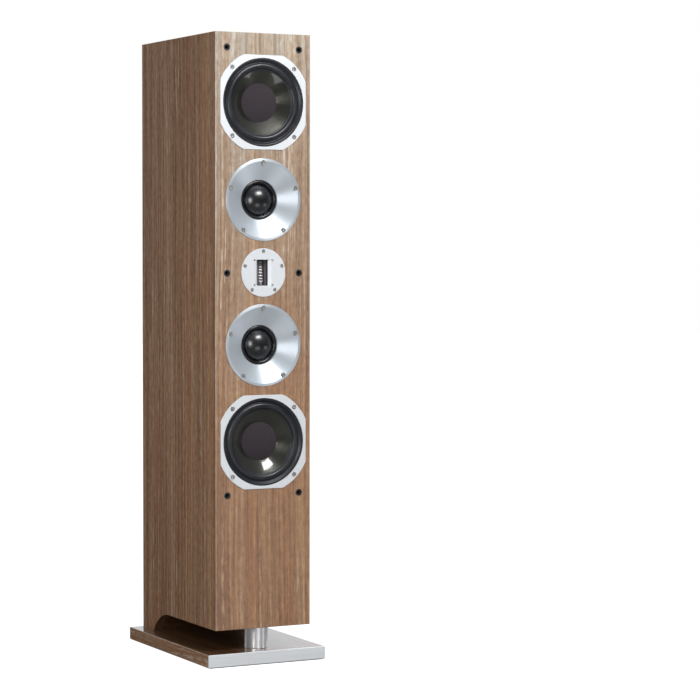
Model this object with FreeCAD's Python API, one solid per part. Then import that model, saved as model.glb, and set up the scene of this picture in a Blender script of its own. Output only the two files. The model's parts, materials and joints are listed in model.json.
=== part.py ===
"""Floorstanding three-way loudspeaker on a plinth, as an assembly of separate pieces, in millimetres.

A tall veneered cabinet carries two bass units, two dome midrange units and one ribbon tweeter, mirrored about
the tweeter. Its rear runs down to the plinth as a leg with a concave front, and a turned column holds up its
front, so that the reflex port in its underside breathes into the gap above the plinth.

Frame: +Z up, the baffle faces -Y, +X is to the right seen from the front. The origin is the centre of the
plinth's footprint, on the floor. A driver's own profiles are written as (radius, depth), where depth is
measured backwards from the front face of the baffle.
"""

import FreeCAD
import Part
import math
import os

V = FreeCAD.Vector
X_AXIS = V(1, 0, 0)
Y_AXIS = V(0, 1, 0)
Z_AXIS = V(0, 0, 1)

# ---------------------------------------------------------------- driving dimensions
CABINET_WIDTH = 213.0
CABINET_DEPTH = 384.0
CABINET_TOP = 1286.0
UNDERSIDE = 72.0
BAFFLE_THICKNESS = 25.0
PANEL_THICKNESS = 20.0
BOTTOM_THICKNESS = 25.0
EDGE_CHAMFER = 0.8

PLINTH_WIDTH = 263.0
PLINTH_DEPTH = 421.0
PLINTH_THICKNESS = 25.5
PAD_HEIGHT = 1.5
TRIM_THICKNESS = 4.0
FRONT_SETBACK = 21.0

COLUMN_RADIUS = 24.0
COLUMN_SETBACK = 36.0
ARCH_RADIUS = 100.0
ARCH_START = 244.0

TWEETER_HEIGHT = 800.0
BASS_SPACING = 346.0
MID_SPACING = 148.3

# ---------------------------------------------------------------- places worked out from them
HALF_WIDTH = CABINET_WIDTH / 2
INNER_HALF = HALF_WIDTH - PANEL_THICKNESS
PLINTH_TOP = PAD_HEIGHT + PLINTH_THICKNESS
FRONT = -PLINTH_DEPTH / 2 + FRONT_SETBACK
BACK = FRONT + CABINET_DEPTH
BAFFLE_BACK = FRONT + BAFFLE_THICKNESS
BACK_INNER = BACK - PANEL_THICKNESS
FLOOR_TOP = UNDERSIDE + BOTTOM_THICKNESS
TOP_INNER = CABINET_TOP - PANEL_THICKNESS
ARCH_Y = FRONT + ARCH_START
COLUMN_Y = FRONT + COLUMN_SETBACK

BASS_HEIGHTS = {"upper": TWEETER_HEIGHT + BASS_SPACING, "lower": TWEETER_HEIGHT - BASS_SPACING}
MID_HEIGHTS = {"upper": TWEETER_HEIGHT + MID_SPACING, "lower": TWEETER_HEIGHT - MID_SPACING}

# ---------------------------------------------------------------- drivers
# Depths are measured backwards from the baffle's face.
FLANGE_PROUD = 1.5
FLANGE_BACK = 5.0
FLANGE_CHAMFER = 0.6
GASKET = 1.0
REBATE_DEPTH = FLANGE_BACK + GASKET
REBATE_CLEARANCE = 0.3

BASS_HALF = 96.0
BASS_CORNER_RADIUS = 105.5
BASS_OPENING = 90.0
BASS_LEDGE = 81.0
BASS_LEDGE_DEPTH = 3.8
BASS_BODY = 87.0
BASS_GASKET = 94.0
BASS_SCREW_OFFSET = 69.3
CONE_EDGE = 68.0
CONE_THICKNESS = 0.9
COIL_RADIUS = 16.6
# The cone's front surface runs through these (radius, depth) points, as one arc.
CONE_FRONT = ((CONE_EDGE, 4.0), (41.0, 19.25), (COIL_RADIUS, 38.5))
CAP_RIM = 39.3
CAP_RISE = 8.5
CAP_BASE = 20.5
CAP_CLOTH = 0.8
COIL_WALL = 0.3
COIL_WINDING = 0.6
SPIDER_DEPTH = 40.4
SPIDER_CLOTH = 0.6
SPIDER_RADIUS = 52.0
SPIDER_LEDGE = 42.0
SPIDER_WAVES = 5
SPIDER_WAVE_HEIGHT = 1.2
SPOKES = 6
SPOKE_WINDOW = 40.0
MOTOR_SEAT = 28.0
PLATE_RADIUS = 46.0
MAGNET_RADIUS = 52.0
MAGNET_BORE = 26.0
GAP_NEAR = 52.0
GAP_FAR = 58.0
MAGNET_FAR = 76.0
YOKE_FAR = 83.0
YOKE_VENT = 6.0
POLE_RADIUS = 15.8
FRONT_PLATE_BORE = 17.8

MID_RADIUS = 84.0
MID_SCREW_RADIUS = 76.0
MID_THROAT = 40.5
MID_BODY = 70.0
MID_GASKET = 73.0
MID_BACK = 24.0
HORN_EDGE = (78.2, -1.6)
HORN_END = 19.0
DOME_RADIUS = 32.5
DOME_APEX = 7.5
DOME_FOOT = 25.0
DOME_CLOTH = 0.8
MID_PLATE_NEAR = MID_BACK + 0.8
MID_PLATE_FAR = MID_PLATE_NEAR + 7.0
MID_MAGNET_FAR = MID_PLATE_FAR + 13.0
MID_YOKE_FAR = MID_MAGNET_FAR + 7.0
MID_CUP_FAR = MID_YOKE_FAR + 42.0
MID_STEEL_RADIUS = 58.0
MID_YOKE_BORE = 14.0
MID_CUP_RADIUS = 46.0
MID_CUP_WALL = 3.0

TWEETER_RADIUS = 49.5
TWEETER_SCREW_RADIUS = 43.5
TWEETER_BODY = 38.0
TWEETER_GASKET = 41.0
HOUSING_FAR = 52.0
SLOT_HALF_HEIGHT = 26.5
SLOT_HALF_WIDTH = 12.0
SLOT_FLARE = 5.5
SLOT_THROAT = 4.0
SLOT_SCREW_X = 20.2
SLOT_SCREW_Z = 25.2
RIBBON_HALF_WIDTH = 3.7
RIBBON_DEPTH = 12.6
RIBBON_PLEATS = 8
RIBBON_PITCH = 6.0
PLEAT_DEPTH = 1.3
FOIL_THICKNESS = 0.15

# ---------------------------------------------------------------- hardware
# A screw's seat is how deep the underside of its head lies behind the baffle's face.
M5 = {"head": 4.1, "head_height": 3.0, "shank": 2.5, "length": 18.0, "hex": 2.2, "pocket": 4.8, "seat": 2.0}
M4 = {"head": 3.3, "head_height": 2.2, "shank": 2.0, "length": 15.0, "hex": 1.7, "pocket": 3.8, "seat": 1.2}
M2 = {"head": 1.8, "head_height": 1.2, "shank": 1.1, "length": 7.0, "hex": 0.9, "pocket": 2.1, "seat": 0.0}
BOLT = {"shank": 5.0, "head": 8.0, "head_height": 6.0, "hex": 4.6, "grip": 20.0}
LEG_BOLT_X = (-55.0, 55.0)
LEG_BOLT_Y = BACK - 38.0
LEG_BOLT_GRIP = 40.0

SOCKET_X = 80.8
SOCKET_HEIGHTS = (1255.0, 799.0, 347.0)
SOCKET_RADIUS = 7.3
SOCKET_BODY = 6.0
SOCKET_BORE = 3.5
SOCKET_DEPTH = 16.0
SOCKET_CONE = 2.0
SOCKET_LIP = 0.4

BRACE_HEIGHTS = (1034.0, 862.0, 738.0, 566.0, 352.0)
BRACE_THICKNESS = 15.0
BRACE_WINDOW_HALF = 55.0
BRACE_WINDOW_CORNER = 20.0
LINING_THICKNESS = 14.0

PORT_Y = FRONT + 160.0
PORT_BORE = 35.0
PORT_WALL = 3.0
PORT_LENGTH = 150.0
PORT_MOUTH = 48.0
PORT_FLANGE = 54.0

CUP_HEIGHT = 240.0
CUP_DEPTH = 24.0
CUP_FLOOR = BACK - CUP_DEPTH
CUP_INNER = (52.0, 35.0)
CUP_WALL = 3.0
CUP_FLANGE = (65.0, 48.0)
CUP_FLANGE_THICKNESS = 2.5
CUP_SCREWS = (58.5, 41.5)
POST_X = 21.0
POST_TAIL = 14.0
STUD_RADIUS = 4.0
STUD_LENGTH = 26.0
PLUG_RADIUS = 2.05
PLUG_DEPTH = 16.0
COLLAR_RADIUS = 9.0
COLLAR_HEIGHT = 4.0
WIRE_HOLE = 1.8
WASHER_RADIUS = 8.0
WASHER_THICKNESS = 1.2
NUT_LENGTH = 12.0
NUT_RADIUS = 6.0
CAP_RADIUS = 8.5
CAP_FLUTES = 14
RUNNING_CLEARANCE = 0.05

SPIKE_X = 105.0
SPIKE_Y = 182.0
SPIKE_THREAD = 4.0
SPIKE_SLEEVE = 6.0
SPIKE_DEPTH = 18.0
PAD_X = 84.0
PAD_RADIUS = 11.0

BOARD_CENTRE = 462.0
BOARD_THICKNESS = 2.0
BOARD_Y = BACK_INNER - 10.0
BOARD_HALF = (66.0, 78.0)
# Each is (x, z from the board's centre, radius, length).
COILS = (
    (-38.0, 52.0, 20.0, 22.0), (34.0, 46.0, 24.0, 26.0), (-36.0, -8.0, 22.0, 20.0), (40.0, -56.0, 18.0, 18.0),
)
CAPACITORS = (
    (-44.0, -52.0, 9.0, 38.0), (-18.0, -52.0, 12.0, 42.0), (8.0, -50.0, 8.0, 34.0), (34.0, -8.0, 13.0, 44.0),
)
LEAD_RADIUS = 2.0


# ================================================================ helpers
def box(x, y, z):
    """A box between three (low, high) pairs."""
    return Part.makeBox(x[1] - x[0], y[1] - y[0], z[1] - z[0], V(x[0], y[0], z[0]))


def edges_on(shape, axis, value):
    """The edges that lie in the plane where this coordinate, x, y or z, has this value."""
    return [e for e in shape.Edges if all(abs(getattr(v.Point, axis) - value) < 1e-6 for v in e.Vertexes)]


def rod(radius, start, direction, length):
    return Part.makeCylinder(radius, length, start, direction)


def outline(start, steps, place):
    """A closed face. Each step is a point, or (middle, end) for an arc; place puts a 2-D point into space."""
    edges = []
    here = start
    for step in steps + [start]:
        if isinstance(step[0], tuple):
            middle, end = step
            edges.append(Part.Arc(place(here), place(middle), place(end)).toShape())
        else:
            end = step
            edges.append(Part.LineSegment(place(here), place(end)).toShape())
        here = end
    return Part.Face(Part.Wire(edges))


def turned(height, start, *steps, angle=360.0):
    """A piece turned about a driver's axis at this height, from a profile of (radius, depth) points."""
    face = outline(start, list(steps), lambda p: V(p[0], FRONT + p[1], 0))
    solid = face.revolve(V(0, 0, 0), Y_AXIS, angle)
    solid.translate(V(0, 0, height))
    return solid


def disc(height, inner, outer, near, far):
    """A flat ring, or a disc where inner is 0, between two depths."""
    return turned(height, (inner, near), (outer, near), (outer, far), (inner, far))


def side_profile(x_low, x_high, start, *steps):
    """A profile in the Y-Z plane, extruded across the width."""
    face = outline(start, list(steps), lambda p: V(x_low, p[0], p[1]))
    return face.extrude(V(x_high - x_low, 0, 0))


def arch_step():
    """The concave front of the rear leg, from the underside down to the plinth, as one arc."""
    centre_z = UNDERSIDE - ARCH_RADIUS
    end_angle = math.asin((PLINTH_TOP - centre_z) / ARCH_RADIUS)
    middle_angle = (math.pi / 2 + end_angle) / 2

    def point(angle):
        return (ARCH_Y + ARCH_RADIUS * math.cos(angle), centre_z + ARCH_RADIUS * math.sin(angle))

    return (point(middle_angle), point(end_angle))


def spread(count, radius, first_angle=90.0):
    """(x, z) points evenly round a circle."""
    angles = [math.radians(first_angle + 360.0 * i / count) for i in range(count)]
    return [(radius * math.cos(a), radius * math.sin(a)) for a in angles]


def hexagon(radius, start, depth):
    """A hexagonal prism along +Y."""
    points = [start + V(x, 0, z) for x, z in spread(6, radius)]
    return Part.Face(Part.makePolygon(points + [points[0]])).extrude(V(0, depth, 0))


def screw(kind, x, z, seat):
    """A socket-head screw driven in from the front, its head's underside at depth seat."""
    under_head = V(x, FRONT + seat, z)
    head = rod(kind["head"], under_head, V(0, -1, 0), kind["head_height"])
    shank = rod(kind["shank"], under_head, Y_AXIS, kind["length"])
    socket_depth = 0.65 * kind["head_height"]
    top = under_head + V(0, -kind["head_height"], 0)
    return head.fuse(shank).removeSplitter().cut(hexagon(kind["hex"], top, socket_depth))


def screw_pocket(kind, x, z, seat):
    """What a screw takes out of a flange: a pocket for its head and a clearance hole."""
    pocket = rod(kind["pocket"], V(x, FRONT + seat, z), V(0, -1, 0), 10.0)
    hole = rod(kind["shank"] + 0.2, V(x, FRONT + seat - 1, z), Y_AXIS, 20.0)
    return [pocket, hole]


def pilot(kind, x, z, seat):
    """The hole that a screw's thread fills in the baffle."""
    return rod(kind["shank"], V(x, FRONT - 1, z), Y_AXIS, 1 + seat + kind["length"])


def bass_screws(height):
    return [(sx * BASS_SCREW_OFFSET, height + sz * BASS_SCREW_OFFSET) for sx in (-1, 1) for sz in (-1, 1)]


def mid_screws(height):
    return [(x, height + z) for x, z in spread(5, MID_SCREW_RADIUS)]


def tweeter_screws():
    return [(x, TWEETER_HEIGHT + z) for x, z in spread(5, TWEETER_SCREW_RADIUS)]


def slot_screws():
    return [(sx * SLOT_SCREW_X, TWEETER_HEIGHT + sz * SLOT_SCREW_Z) for sx in (-1, 1) for sz in (-1, 1)]


def bass_outline(height, grow, near, far):
    """The bass flange: a disc cut square on four sides."""
    square = BASS_HALF + grow
    round_ = rod(BASS_CORNER_RADIUS + grow, V(0, FRONT + near, height), Y_AXIS, far - near)
    flats = box((-square, square), (FRONT + near, FRONT + far), (height - square, height + square))
    return round_.common(flats)


# ================================================================ cabinet
def front_baffle():
    board = box((-HALF_WIDTH, HALF_WIDTH), (FRONT, BAFFLE_BACK), (UNDERSIDE, CABINET_TOP))
    board = board.makeChamfer(EDGE_CHAMFER, edges_on(board, "y", FRONT))
    cuts = []
    for height in BASS_HEIGHTS.values():
        cuts.append(bass_outline(height, REBATE_CLEARANCE, -1, REBATE_DEPTH))
        cuts.append(disc(height, 0, BASS_BODY + REBATE_CLEARANCE, -1, 30))
        cuts += [pilot(M5, x, z, M5["seat"]) for x, z in bass_screws(height)]
    for height in MID_HEIGHTS.values():
        cuts.append(disc(height, 0, MID_RADIUS + REBATE_CLEARANCE, -1, REBATE_DEPTH))
        cuts.append(disc(height, 0, MID_BODY + REBATE_CLEARANCE, -1, 30))
        cuts += [pilot(M5, x, z, M5["seat"]) for x, z in mid_screws(height)]
    cuts.append(disc(TWEETER_HEIGHT, 0, TWEETER_RADIUS + REBATE_CLEARANCE, -1, REBATE_DEPTH))
    cuts.append(disc(TWEETER_HEIGHT, 0, TWEETER_BODY + REBATE_CLEARANCE, -1, 30))
    cuts += [pilot(M4, x, z, M4["seat"]) for x, z in tweeter_screws()]
    for x, z in socket_places():
        cuts.append(rod(SOCKET_BODY, V(x, FRONT - 1, z), Y_AXIS, 1 + SOCKET_DEPTH))
        cuts.append(rod(SOCKET_RADIUS, V(x, FRONT - 1, z), Y_AXIS, 2))
    return board.cut(cuts)


def side_panel(sign):
    """A side board with the arch cut into its lower edge, mitred to the top board."""
    low, high = sorted((sign * HALF_WIDTH, sign * INNER_HALF))
    board = side_profile(
        low, high,
        (BAFFLE_BACK, UNDERSIDE), (ARCH_Y, UNDERSIDE), arch_step(), (BACK, PLINTH_TOP),
        (BACK, CABINET_TOP), (BAFFLE_BACK, CABINET_TOP),
    )
    corners = [(HALF_WIDTH, CABINET_TOP), (INNER_HALF, TOP_INNER), (INNER_HALF, CABINET_TOP)]
    mitre = [V(sign * x, -CABINET_DEPTH, z) for x, z in corners]
    wedge = Part.Face(Part.makePolygon(mitre + [mitre[0]])).extrude(V(0, CABINET_DEPTH * 2, 0))
    return board.cut(wedge)


def top_panel():
    """The top board, mitred to both side boards."""
    upper = [(-HALF_WIDTH, CABINET_TOP), (HALF_WIDTH, CABINET_TOP)]
    lower = [(INNER_HALF, TOP_INNER), (-INNER_HALF, TOP_INNER)]
    points = [V(x, BAFFLE_BACK, z) for x, z in upper + lower]
    return Part.Face(Part.makePolygon(points + [points[0]])).extrude(V(0, BACK - BAFFLE_BACK, 0))


def bottom_panel():
    board = box((-INNER_HALF, INNER_HALF), (BAFFLE_BACK, ARCH_Y), (UNDERSIDE, FLOOR_TOP))
    bore = rod(PORT_BORE + PORT_WALL, V(0, PORT_Y, UNDERSIDE - 1), Z_AXIS, BOTTOM_THICKNESS + 2)
    mouth = rod(PORT_FLANGE, V(0, PORT_Y, UNDERSIDE - 1), Z_AXIS, 1 + PORT_WALL)
    bolt = rod(BOLT["shank"], V(0, COLUMN_Y, UNDERSIDE - 1), Z_AXIS, 1 + BOLT["grip"])
    return board.cut([bore, mouth, bolt])


def back_panel():
    board = box((-INNER_HALF, INNER_HALF), (BACK_INNER, BACK), (PLINTH_TOP, TOP_INNER))
    half_x, half_z = (n + CUP_WALL + REBATE_CLEARANCE for n in CUP_INNER)
    opening = box((-half_x, half_x), (BACK_INNER - 1, BACK + 1), (CUP_HEIGHT - half_z, CUP_HEIGHT + half_z))
    pilots = [rod(M4["shank"], V(x, BACK + 1, z), V(0, -1, 0), 15) for x, z in cup_screws()]
    return board.cut([opening] + pilots)


def rear_leg():
    """The block between the side boards, with a concave front; two bolts hold it to the plinth."""
    block = side_profile(
        -INNER_HALF, INNER_HALF,
        (ARCH_Y, UNDERSIDE), arch_step(), (BACK_INNER, PLINTH_TOP),
        (BACK_INNER, FLOOR_TOP), (ARCH_Y, FLOOR_TOP),
    )
    starts = [V(x, LEG_BOLT_Y, PLINTH_TOP - 1) for x in LEG_BOLT_X]
    return block.cut([rod(BOLT["shank"], start, Z_AXIS, 1 + LEG_BOLT_GRIP) for start in starts])


def shelf_braces():
    """Boards across the inside, each with two windows that leave the air and the wiring room."""
    braces = []
    for middle in BRACE_HEIGHTS:
        z = (middle - BRACE_THICKNESS / 2, middle + BRACE_THICKNESS / 2)
        board = box((-INNER_HALF, INNER_HALF), (BAFFLE_BACK, BACK_INNER), z)
        windows = []
        for y in ((BAFFLE_BACK + 45, BAFFLE_BACK + 150), (BAFFLE_BACK + 180, BACK_INNER - 40)):
            window = box((-BRACE_WINDOW_HALF, BRACE_WINDOW_HALF), y, (z[0] - 1, z[1] + 1))
            upright = [e for e in window.Edges if abs(e.tangentAt(e.FirstParameter).z) > 0.9]
            windows.append(window.makeFillet(BRACE_WINDOW_CORNER, upright))
        braces.append(board.cut(windows))
    return braces


def acoustic_lining():
    """Wool pads on both side walls, one in each bay between braces, behind the drivers."""
    edges = [FLOOR_TOP + 20] + sorted(BRACE_HEIGHTS) + [TOP_INNER]
    pads = []
    for low, high in zip(edges, edges[1:]):
        z = (low + 10, high - 10)
        y = (BAFFLE_BACK + 95, BACK_INNER - 25)
        for sign in (-1, 1):
            x = sorted((sign * INNER_HALF, sign * (INNER_HALF - LINING_THICKNESS)))
            pad = box(x, y, z)
            inner = [e for e in pad.Edges if all(abs(abs(v.Point.x) - INNER_HALF) > 1 for v in e.Vertexes)]
            pads.append(pad.makeFillet(5, inner))
    return pads


def socket_places():
    return [(sign * SOCKET_X, z) for z in SOCKET_HEIGHTS for sign in (-1, 1)]


def grille_sockets():
    """Rubber cups that take the grille's pegs: a thin lip, a coned mouth and a blind bore."""
    sockets = []
    for x, z in socket_places():
        cup = turned(
            0,
            (SOCKET_BORE, SOCKET_CONE), (SOCKET_RADIUS - 2.6, -SOCKET_LIP),
            (SOCKET_RADIUS - 0.6, -SOCKET_LIP), (SOCKET_RADIUS, 0.1),
            (SOCKET_RADIUS, 1), (SOCKET_BODY, 1), (SOCKET_BODY, SOCKET_DEPTH), (0, SOCKET_DEPTH),
            (0, SOCKET_DEPTH - 2), (SOCKET_BORE, SOCKET_DEPTH - 2),
        )
        cup.translate(V(x, 0, z))
        sockets.append(cup)
    return sockets


def port_tube():
    """The reflex port: a tube up into the cabinet with a flared mouth let into the underside."""
    top = UNDERSIDE + PORT_LENGTH
    outer = PORT_BORE + PORT_WALL
    flare = PORT_MOUTH - PORT_BORE
    sag = flare * (1 - math.sqrt(0.5))
    face = outline(
        (outer, top),
        [
            (PORT_BORE, top), (PORT_BORE, UNDERSIDE + flare),
            ((PORT_BORE + sag, UNDERSIDE + sag), (PORT_MOUTH, UNDERSIDE)),
            (PORT_FLANGE, UNDERSIDE), (PORT_FLANGE, UNDERSIDE + PORT_WALL), (outer, UNDERSIDE + PORT_WALL),
        ],
        lambda p: V(p[0], 0, p[1]),
    )
    tube = face.revolve(V(0, 0, 0), Z_AXIS, 360)
    tube.translate(V(0, PORT_Y, 0))
    return tube


# ================================================================ base
def bolt_places():
    """(x, y, end height) of the bolts that come up through the plinth."""
    column = (0.0, COLUMN_Y, UNDERSIDE + BOLT["grip"])
    return [column] + [(x, LEG_BOLT_Y, PLINTH_TOP + LEG_BOLT_GRIP) for x in LEG_BOLT_X]


def plinth_board():
    y = (-PLINTH_DEPTH / 2 + TRIM_THICKNESS, PLINTH_DEPTH / 2)
    board = box((-PLINTH_WIDTH / 2, PLINTH_WIDTH / 2), y, (PAD_HEIGHT, PLINTH_TOP))
    at_trim = [e.hashCode() for e in edges_on(board, "y", y[0])]
    upper = [e for e in edges_on(board, "z", PLINTH_TOP) if e.hashCode() not in at_trim]
    board = board.makeChamfer(EDGE_CHAMFER / 2, upper)
    cuts = []
    for x, by, _ in bolt_places():
        cuts.append(rod(BOLT["shank"], V(x, by, 0), Z_AXIS, PLINTH_TOP + 1))
        cuts.append(rod(BOLT["head"] + 1, V(x, by, 0), Z_AXIS, PAD_HEIGHT + BOLT["head_height"] + 2))
    for x, sy in spike_places():
        cuts.append(rod(SPIKE_SLEEVE, V(x, sy, 0), Z_AXIS, PAD_HEIGHT + SPIKE_DEPTH))
    return board.cut(cuts)


def plinth_trim():
    """The satin metal bar across the front edge of the plinth."""
    y = (-PLINTH_DEPTH / 2, -PLINTH_DEPTH / 2 + TRIM_THICKNESS)
    bar = box((-PLINTH_WIDTH / 2, PLINTH_WIDTH / 2), y, (PAD_HEIGHT, PLINTH_TOP))
    return bar.makeChamfer(EDGE_CHAMFER, edges_on(bar, "y", y[0]))


def front_column():
    """The turned metal post under the front of the cabinet, drilled through for its bolt."""
    column = rod(COLUMN_RADIUS, V(0, COLUMN_Y, PLINTH_TOP), Z_AXIS, UNDERSIDE - PLINTH_TOP)
    rims = [e for e in column.Edges if e.Curve.TypeId == "Part::GeomCircle"]
    column = column.makeChamfer(FLANGE_CHAMFER, rims)
    return column.cut(rod(BOLT["shank"], V(0, COLUMN_Y, 0), Z_AXIS, UNDERSIDE + 1))


def base_bolts():
    """Socket-head bolts from under the plinth: one up through the column, two into the leg."""
    bolts = []
    for x, y, top in bolt_places():
        seat = PAD_HEIGHT + BOLT["head_height"] + 2
        head = rod(BOLT["head"], V(x, y, seat - BOLT["head_height"]), Z_AXIS, BOLT["head_height"])
        shank = rod(BOLT["shank"], V(x, y, seat), Z_AXIS, top - seat)
        points = [V(x + px, y + py, seat - BOLT["head_height"]) for px, py in spread(6, BOLT["hex"])]
        key = Part.Face(Part.makePolygon(points + [points[0]])).extrude(V(0, 0, 4))
        bolts.append(head.fuse(shank).removeSplitter().cut(key))
    return bolts


def spike_places():
    return [(sx * SPIKE_X, sy * SPIKE_Y) for sx in (-1, 1) for sy in (-1, 1)]


def spike_inserts():
    """Threaded sleeves in the underside of the plinth for M8 spikes or castors."""
    sleeves = []
    for x, y in spike_places():
        outer = rod(SPIKE_SLEEVE, V(x, y, PAD_HEIGHT), Z_AXIS, SPIKE_DEPTH)
        sleeves.append(outer.cut(rod(SPIKE_THREAD, V(x, y, PAD_HEIGHT - 1), Z_AXIS, SPIKE_DEPTH - 1)))
    return sleeves


def floor_pads():
    """Four round rubber pads that the plinth stands on."""
    pads = []
    for x, y in [(sx * PAD_X, sy * SPIKE_Y) for sx in (-1, 1) for sy in (-1, 1)]:
        pad = rod(PAD_RADIUS, V(x, y, 0), Z_AXIS, PAD_HEIGHT)
        pads.append(pad.makeFillet(0.6, edges_on(pad, "z", 0.0)))
    return pads


# ================================================================ bass units
def bass_frame(height):
    """The cast chassis: a flange cut square on four sides, six spokes, a spider ledge, a motor seat."""
    flange = bass_outline(height, 0, -FLANGE_PROUD, FLANGE_BACK)
    flange = flange.makeChamfer(FLANGE_CHAMFER, edges_on(flange, "y", FRONT - FLANGE_PROUD))
    cuts = [disc(height, 0, BASS_OPENING, -10, BASS_LEDGE_DEPTH), disc(height, 0, BASS_LEDGE, -10, 10)]
    for x, z in bass_screws(height):
        cuts += screw_pocket(M5, x, z, M5["seat"])
    ledge = SPIDER_DEPTH + SPIDER_CLOTH
    basket = turned(
        height,
        (BASS_LEDGE, FLANGE_BACK), (BASS_BODY, FLANGE_BACK), (BASS_BODY, 13), (54, 47), (54, GAP_NEAR),
        (MOTOR_SEAT, GAP_NEAR), (MOTOR_SEAT, 48), (SPIDER_LEDGE, 48), (SPIDER_LEDGE, ledge),
        (SPIDER_RADIUS + 1, ledge), (BASS_LEDGE, 13),
    )
    windows = []
    for i in range(SPOKES):
        window = turned(0, (50, 16), (95, 16), (95, 38), (50, 38), angle=SPOKE_WINDOW)
        window.rotate(V(0, 0, 0), Y_AXIS, 360.0 / SPOKES * i + 10)
        window.translate(V(0, 0, height))
        windows.append(window)
    return flange.cut(cuts).fuse(basket.cut(windows)).removeSplitter()


def cone_layer(height, near, far):
    """The volume between two copies of the cone's surface, shifted back by near and far."""
    edge, middle, neck = CONE_FRONT

    def back(point, shift):
        return (point[0], point[1] + shift)

    return turned(
        height,
        back(edge, near), (back(middle, near), back(neck, near)),
        back(neck, far), (back(middle, far), back(edge, far)),
    )


def bass_cone(height):
    return cone_layer(height, 0, CONE_THICKNESS)


def bass_dust_cap(height):
    """A shallow fabric dome glued to the cone."""
    sphere = (CAP_RIM**2 + CAP_RISE**2) / (2 * CAP_RISE)
    skirt = CAP_BASE + 6
    inner = CAP_RIM - CAP_CLOTH

    def dome(radius, shift):
        drop = sphere - math.sqrt(sphere**2 - radius**2)
        return (radius, CAP_BASE - CAP_RISE + drop + shift)

    shell = turned(
        height,
        dome(0, 0), (dome(CAP_RIM / 2, 0), dome(CAP_RIM, 0)), (CAP_RIM, skirt), (inner, skirt),
        dome(inner, CAP_CLOTH), (dome(CAP_RIM / 2, CAP_CLOTH), dome(0, CAP_CLOTH)),
    )
    return shell.cut(cone_layer(height, 0, 30))


def bass_surround(height):
    """Moulded rubber: a bevelled outer ring, a groove and a half roll, glued to the cone's front edge."""
    ring = turned(
        height,
        (BASS_OPENING, BASS_LEDGE_DEPTH), (BASS_OPENING, 0.4), (88.8, -0.7), (86.4, -0.7), (82.0, 2.6),
        (80.0, 3.4),
        ((77.9, 0.9), (73.9, -0.4)), ((69.4, 1.2), (67.4, 3.4)), (65.0, 4.2),
        (64.0, 6.0), (68.4, 4.9), ((70.4, 2.3), (73.9, 1.0)), ((77.0, 2.0), (79.0, 4.4)), (BASS_LEDGE, 4.6),
        (BASS_LEDGE, BASS_LEDGE_DEPTH),
    )
    return ring.cut(cone_layer(height, 0, 30))


def bass_coil(height):
    """The voice coil's former, with the winding as a band round it."""
    inner, wound = COIL_RADIUS - COIL_WALL, COIL_RADIUS + COIL_WINDING
    return turned(
        height,
        (inner, 28), (COIL_RADIUS, 28), (COIL_RADIUS, 49), (wound, 49),
        (wound, 61), (COIL_RADIUS, 61), (COIL_RADIUS, 64), (inner, 64),
    )


def bass_spider(height):
    """The corrugated cloth disc that centres the coil; its outer ring lies on the chassis ledge."""
    near, far = SPIDER_DEPTH, SPIDER_DEPTH + SPIDER_CLOTH
    first = COIL_RADIUS + 3.0
    pitch = (SPIDER_LEDGE - first) / SPIDER_WAVES
    front, back = [], []
    for i in range(SPIDER_WAVES):
        start = first + i * pitch
        crest = SPIDER_WAVE_HEIGHT if i % 2 else -SPIDER_WAVE_HEIGHT
        front.append(((start + pitch / 2, near + crest), (start + pitch, near)))
        back.insert(0, ((start + pitch / 2, far + crest), (start, far)))
    rim = [(SPIDER_RADIUS, near), (SPIDER_RADIUS, far), (SPIDER_LEDGE, far)]
    profile = [(first, near)] + front + rim + back + [(COIL_RADIUS, far)]
    return turned(height, (COIL_RADIUS, near), *profile)


def bass_motor_steel(height):
    """The front plate, and the T-yoke whose pole stands inside the coil."""
    plate = disc(height, FRONT_PLATE_BORE, PLATE_RADIUS, GAP_NEAR, GAP_FAR)
    yoke = turned(
        height,
        (YOKE_VENT, GAP_NEAR - 1), (POLE_RADIUS, GAP_NEAR - 1), (POLE_RADIUS, MAGNET_FAR),
        (PLATE_RADIUS, MAGNET_FAR), (PLATE_RADIUS, YOKE_FAR - 2), (PLATE_RADIUS - 2, YOKE_FAR),
        (YOKE_VENT, YOKE_FAR),
    )
    return [plate, yoke]


def bass_magnet(height):
    ring = disc(height, MAGNET_BORE, MAGNET_RADIUS, GAP_FAR, MAGNET_FAR)
    return ring.makeChamfer(1.5, [e for e in ring.Edges if abs(e.BoundBox.XMax - MAGNET_RADIUS) < 0.01])


# ================================================================ midrange units
def mid_faceplate(height):
    """A turned plate: a flat rim, a crisp edge, and a straight conical horn that rolls into its throat."""
    plate = turned(
        height,
        HORN_EDGE, (78.7, -1.6), (83.4, -1.1), (MID_RADIUS, -0.4), (MID_RADIUS, FLANGE_BACK),
        (MID_BODY, FLANGE_BACK), (MID_BODY, 8), (47, MID_BACK), (MID_THROAT, MID_BACK),
        (MID_THROAT, HORN_END + 1.2),
        ((MID_THROAT + 0.3, HORN_END + 0.3), (MID_THROAT + 1.3, HORN_END - 0.5)),
    )
    cuts = []
    for x, z in mid_screws(height):
        cuts += screw_pocket(M5, x, z, M5["seat"])
    return plate.cut(cuts)


def mid_dome(height):
    """A soft coated dome, a thin shell that is part of a sphere."""
    rise = DOME_FOOT - DOME_APEX
    sphere = (DOME_RADIUS**2 + rise**2) / (2 * rise)

    def on(radius, inset):
        return (radius, DOME_APEX + sphere - math.sqrt((sphere - inset) ** 2 - radius**2))

    inner_foot = math.sqrt((sphere - DOME_CLOTH) ** 2 - (sphere - rise) ** 2)
    return turned(
        height,
        on(0, 0), (on(DOME_RADIUS / 2, 0), (DOME_RADIUS, DOME_FOOT)), (inner_foot, DOME_FOOT),
        (on(inner_foot / 2, DOME_CLOTH), on(0, DOME_CLOTH)),
    )


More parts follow.
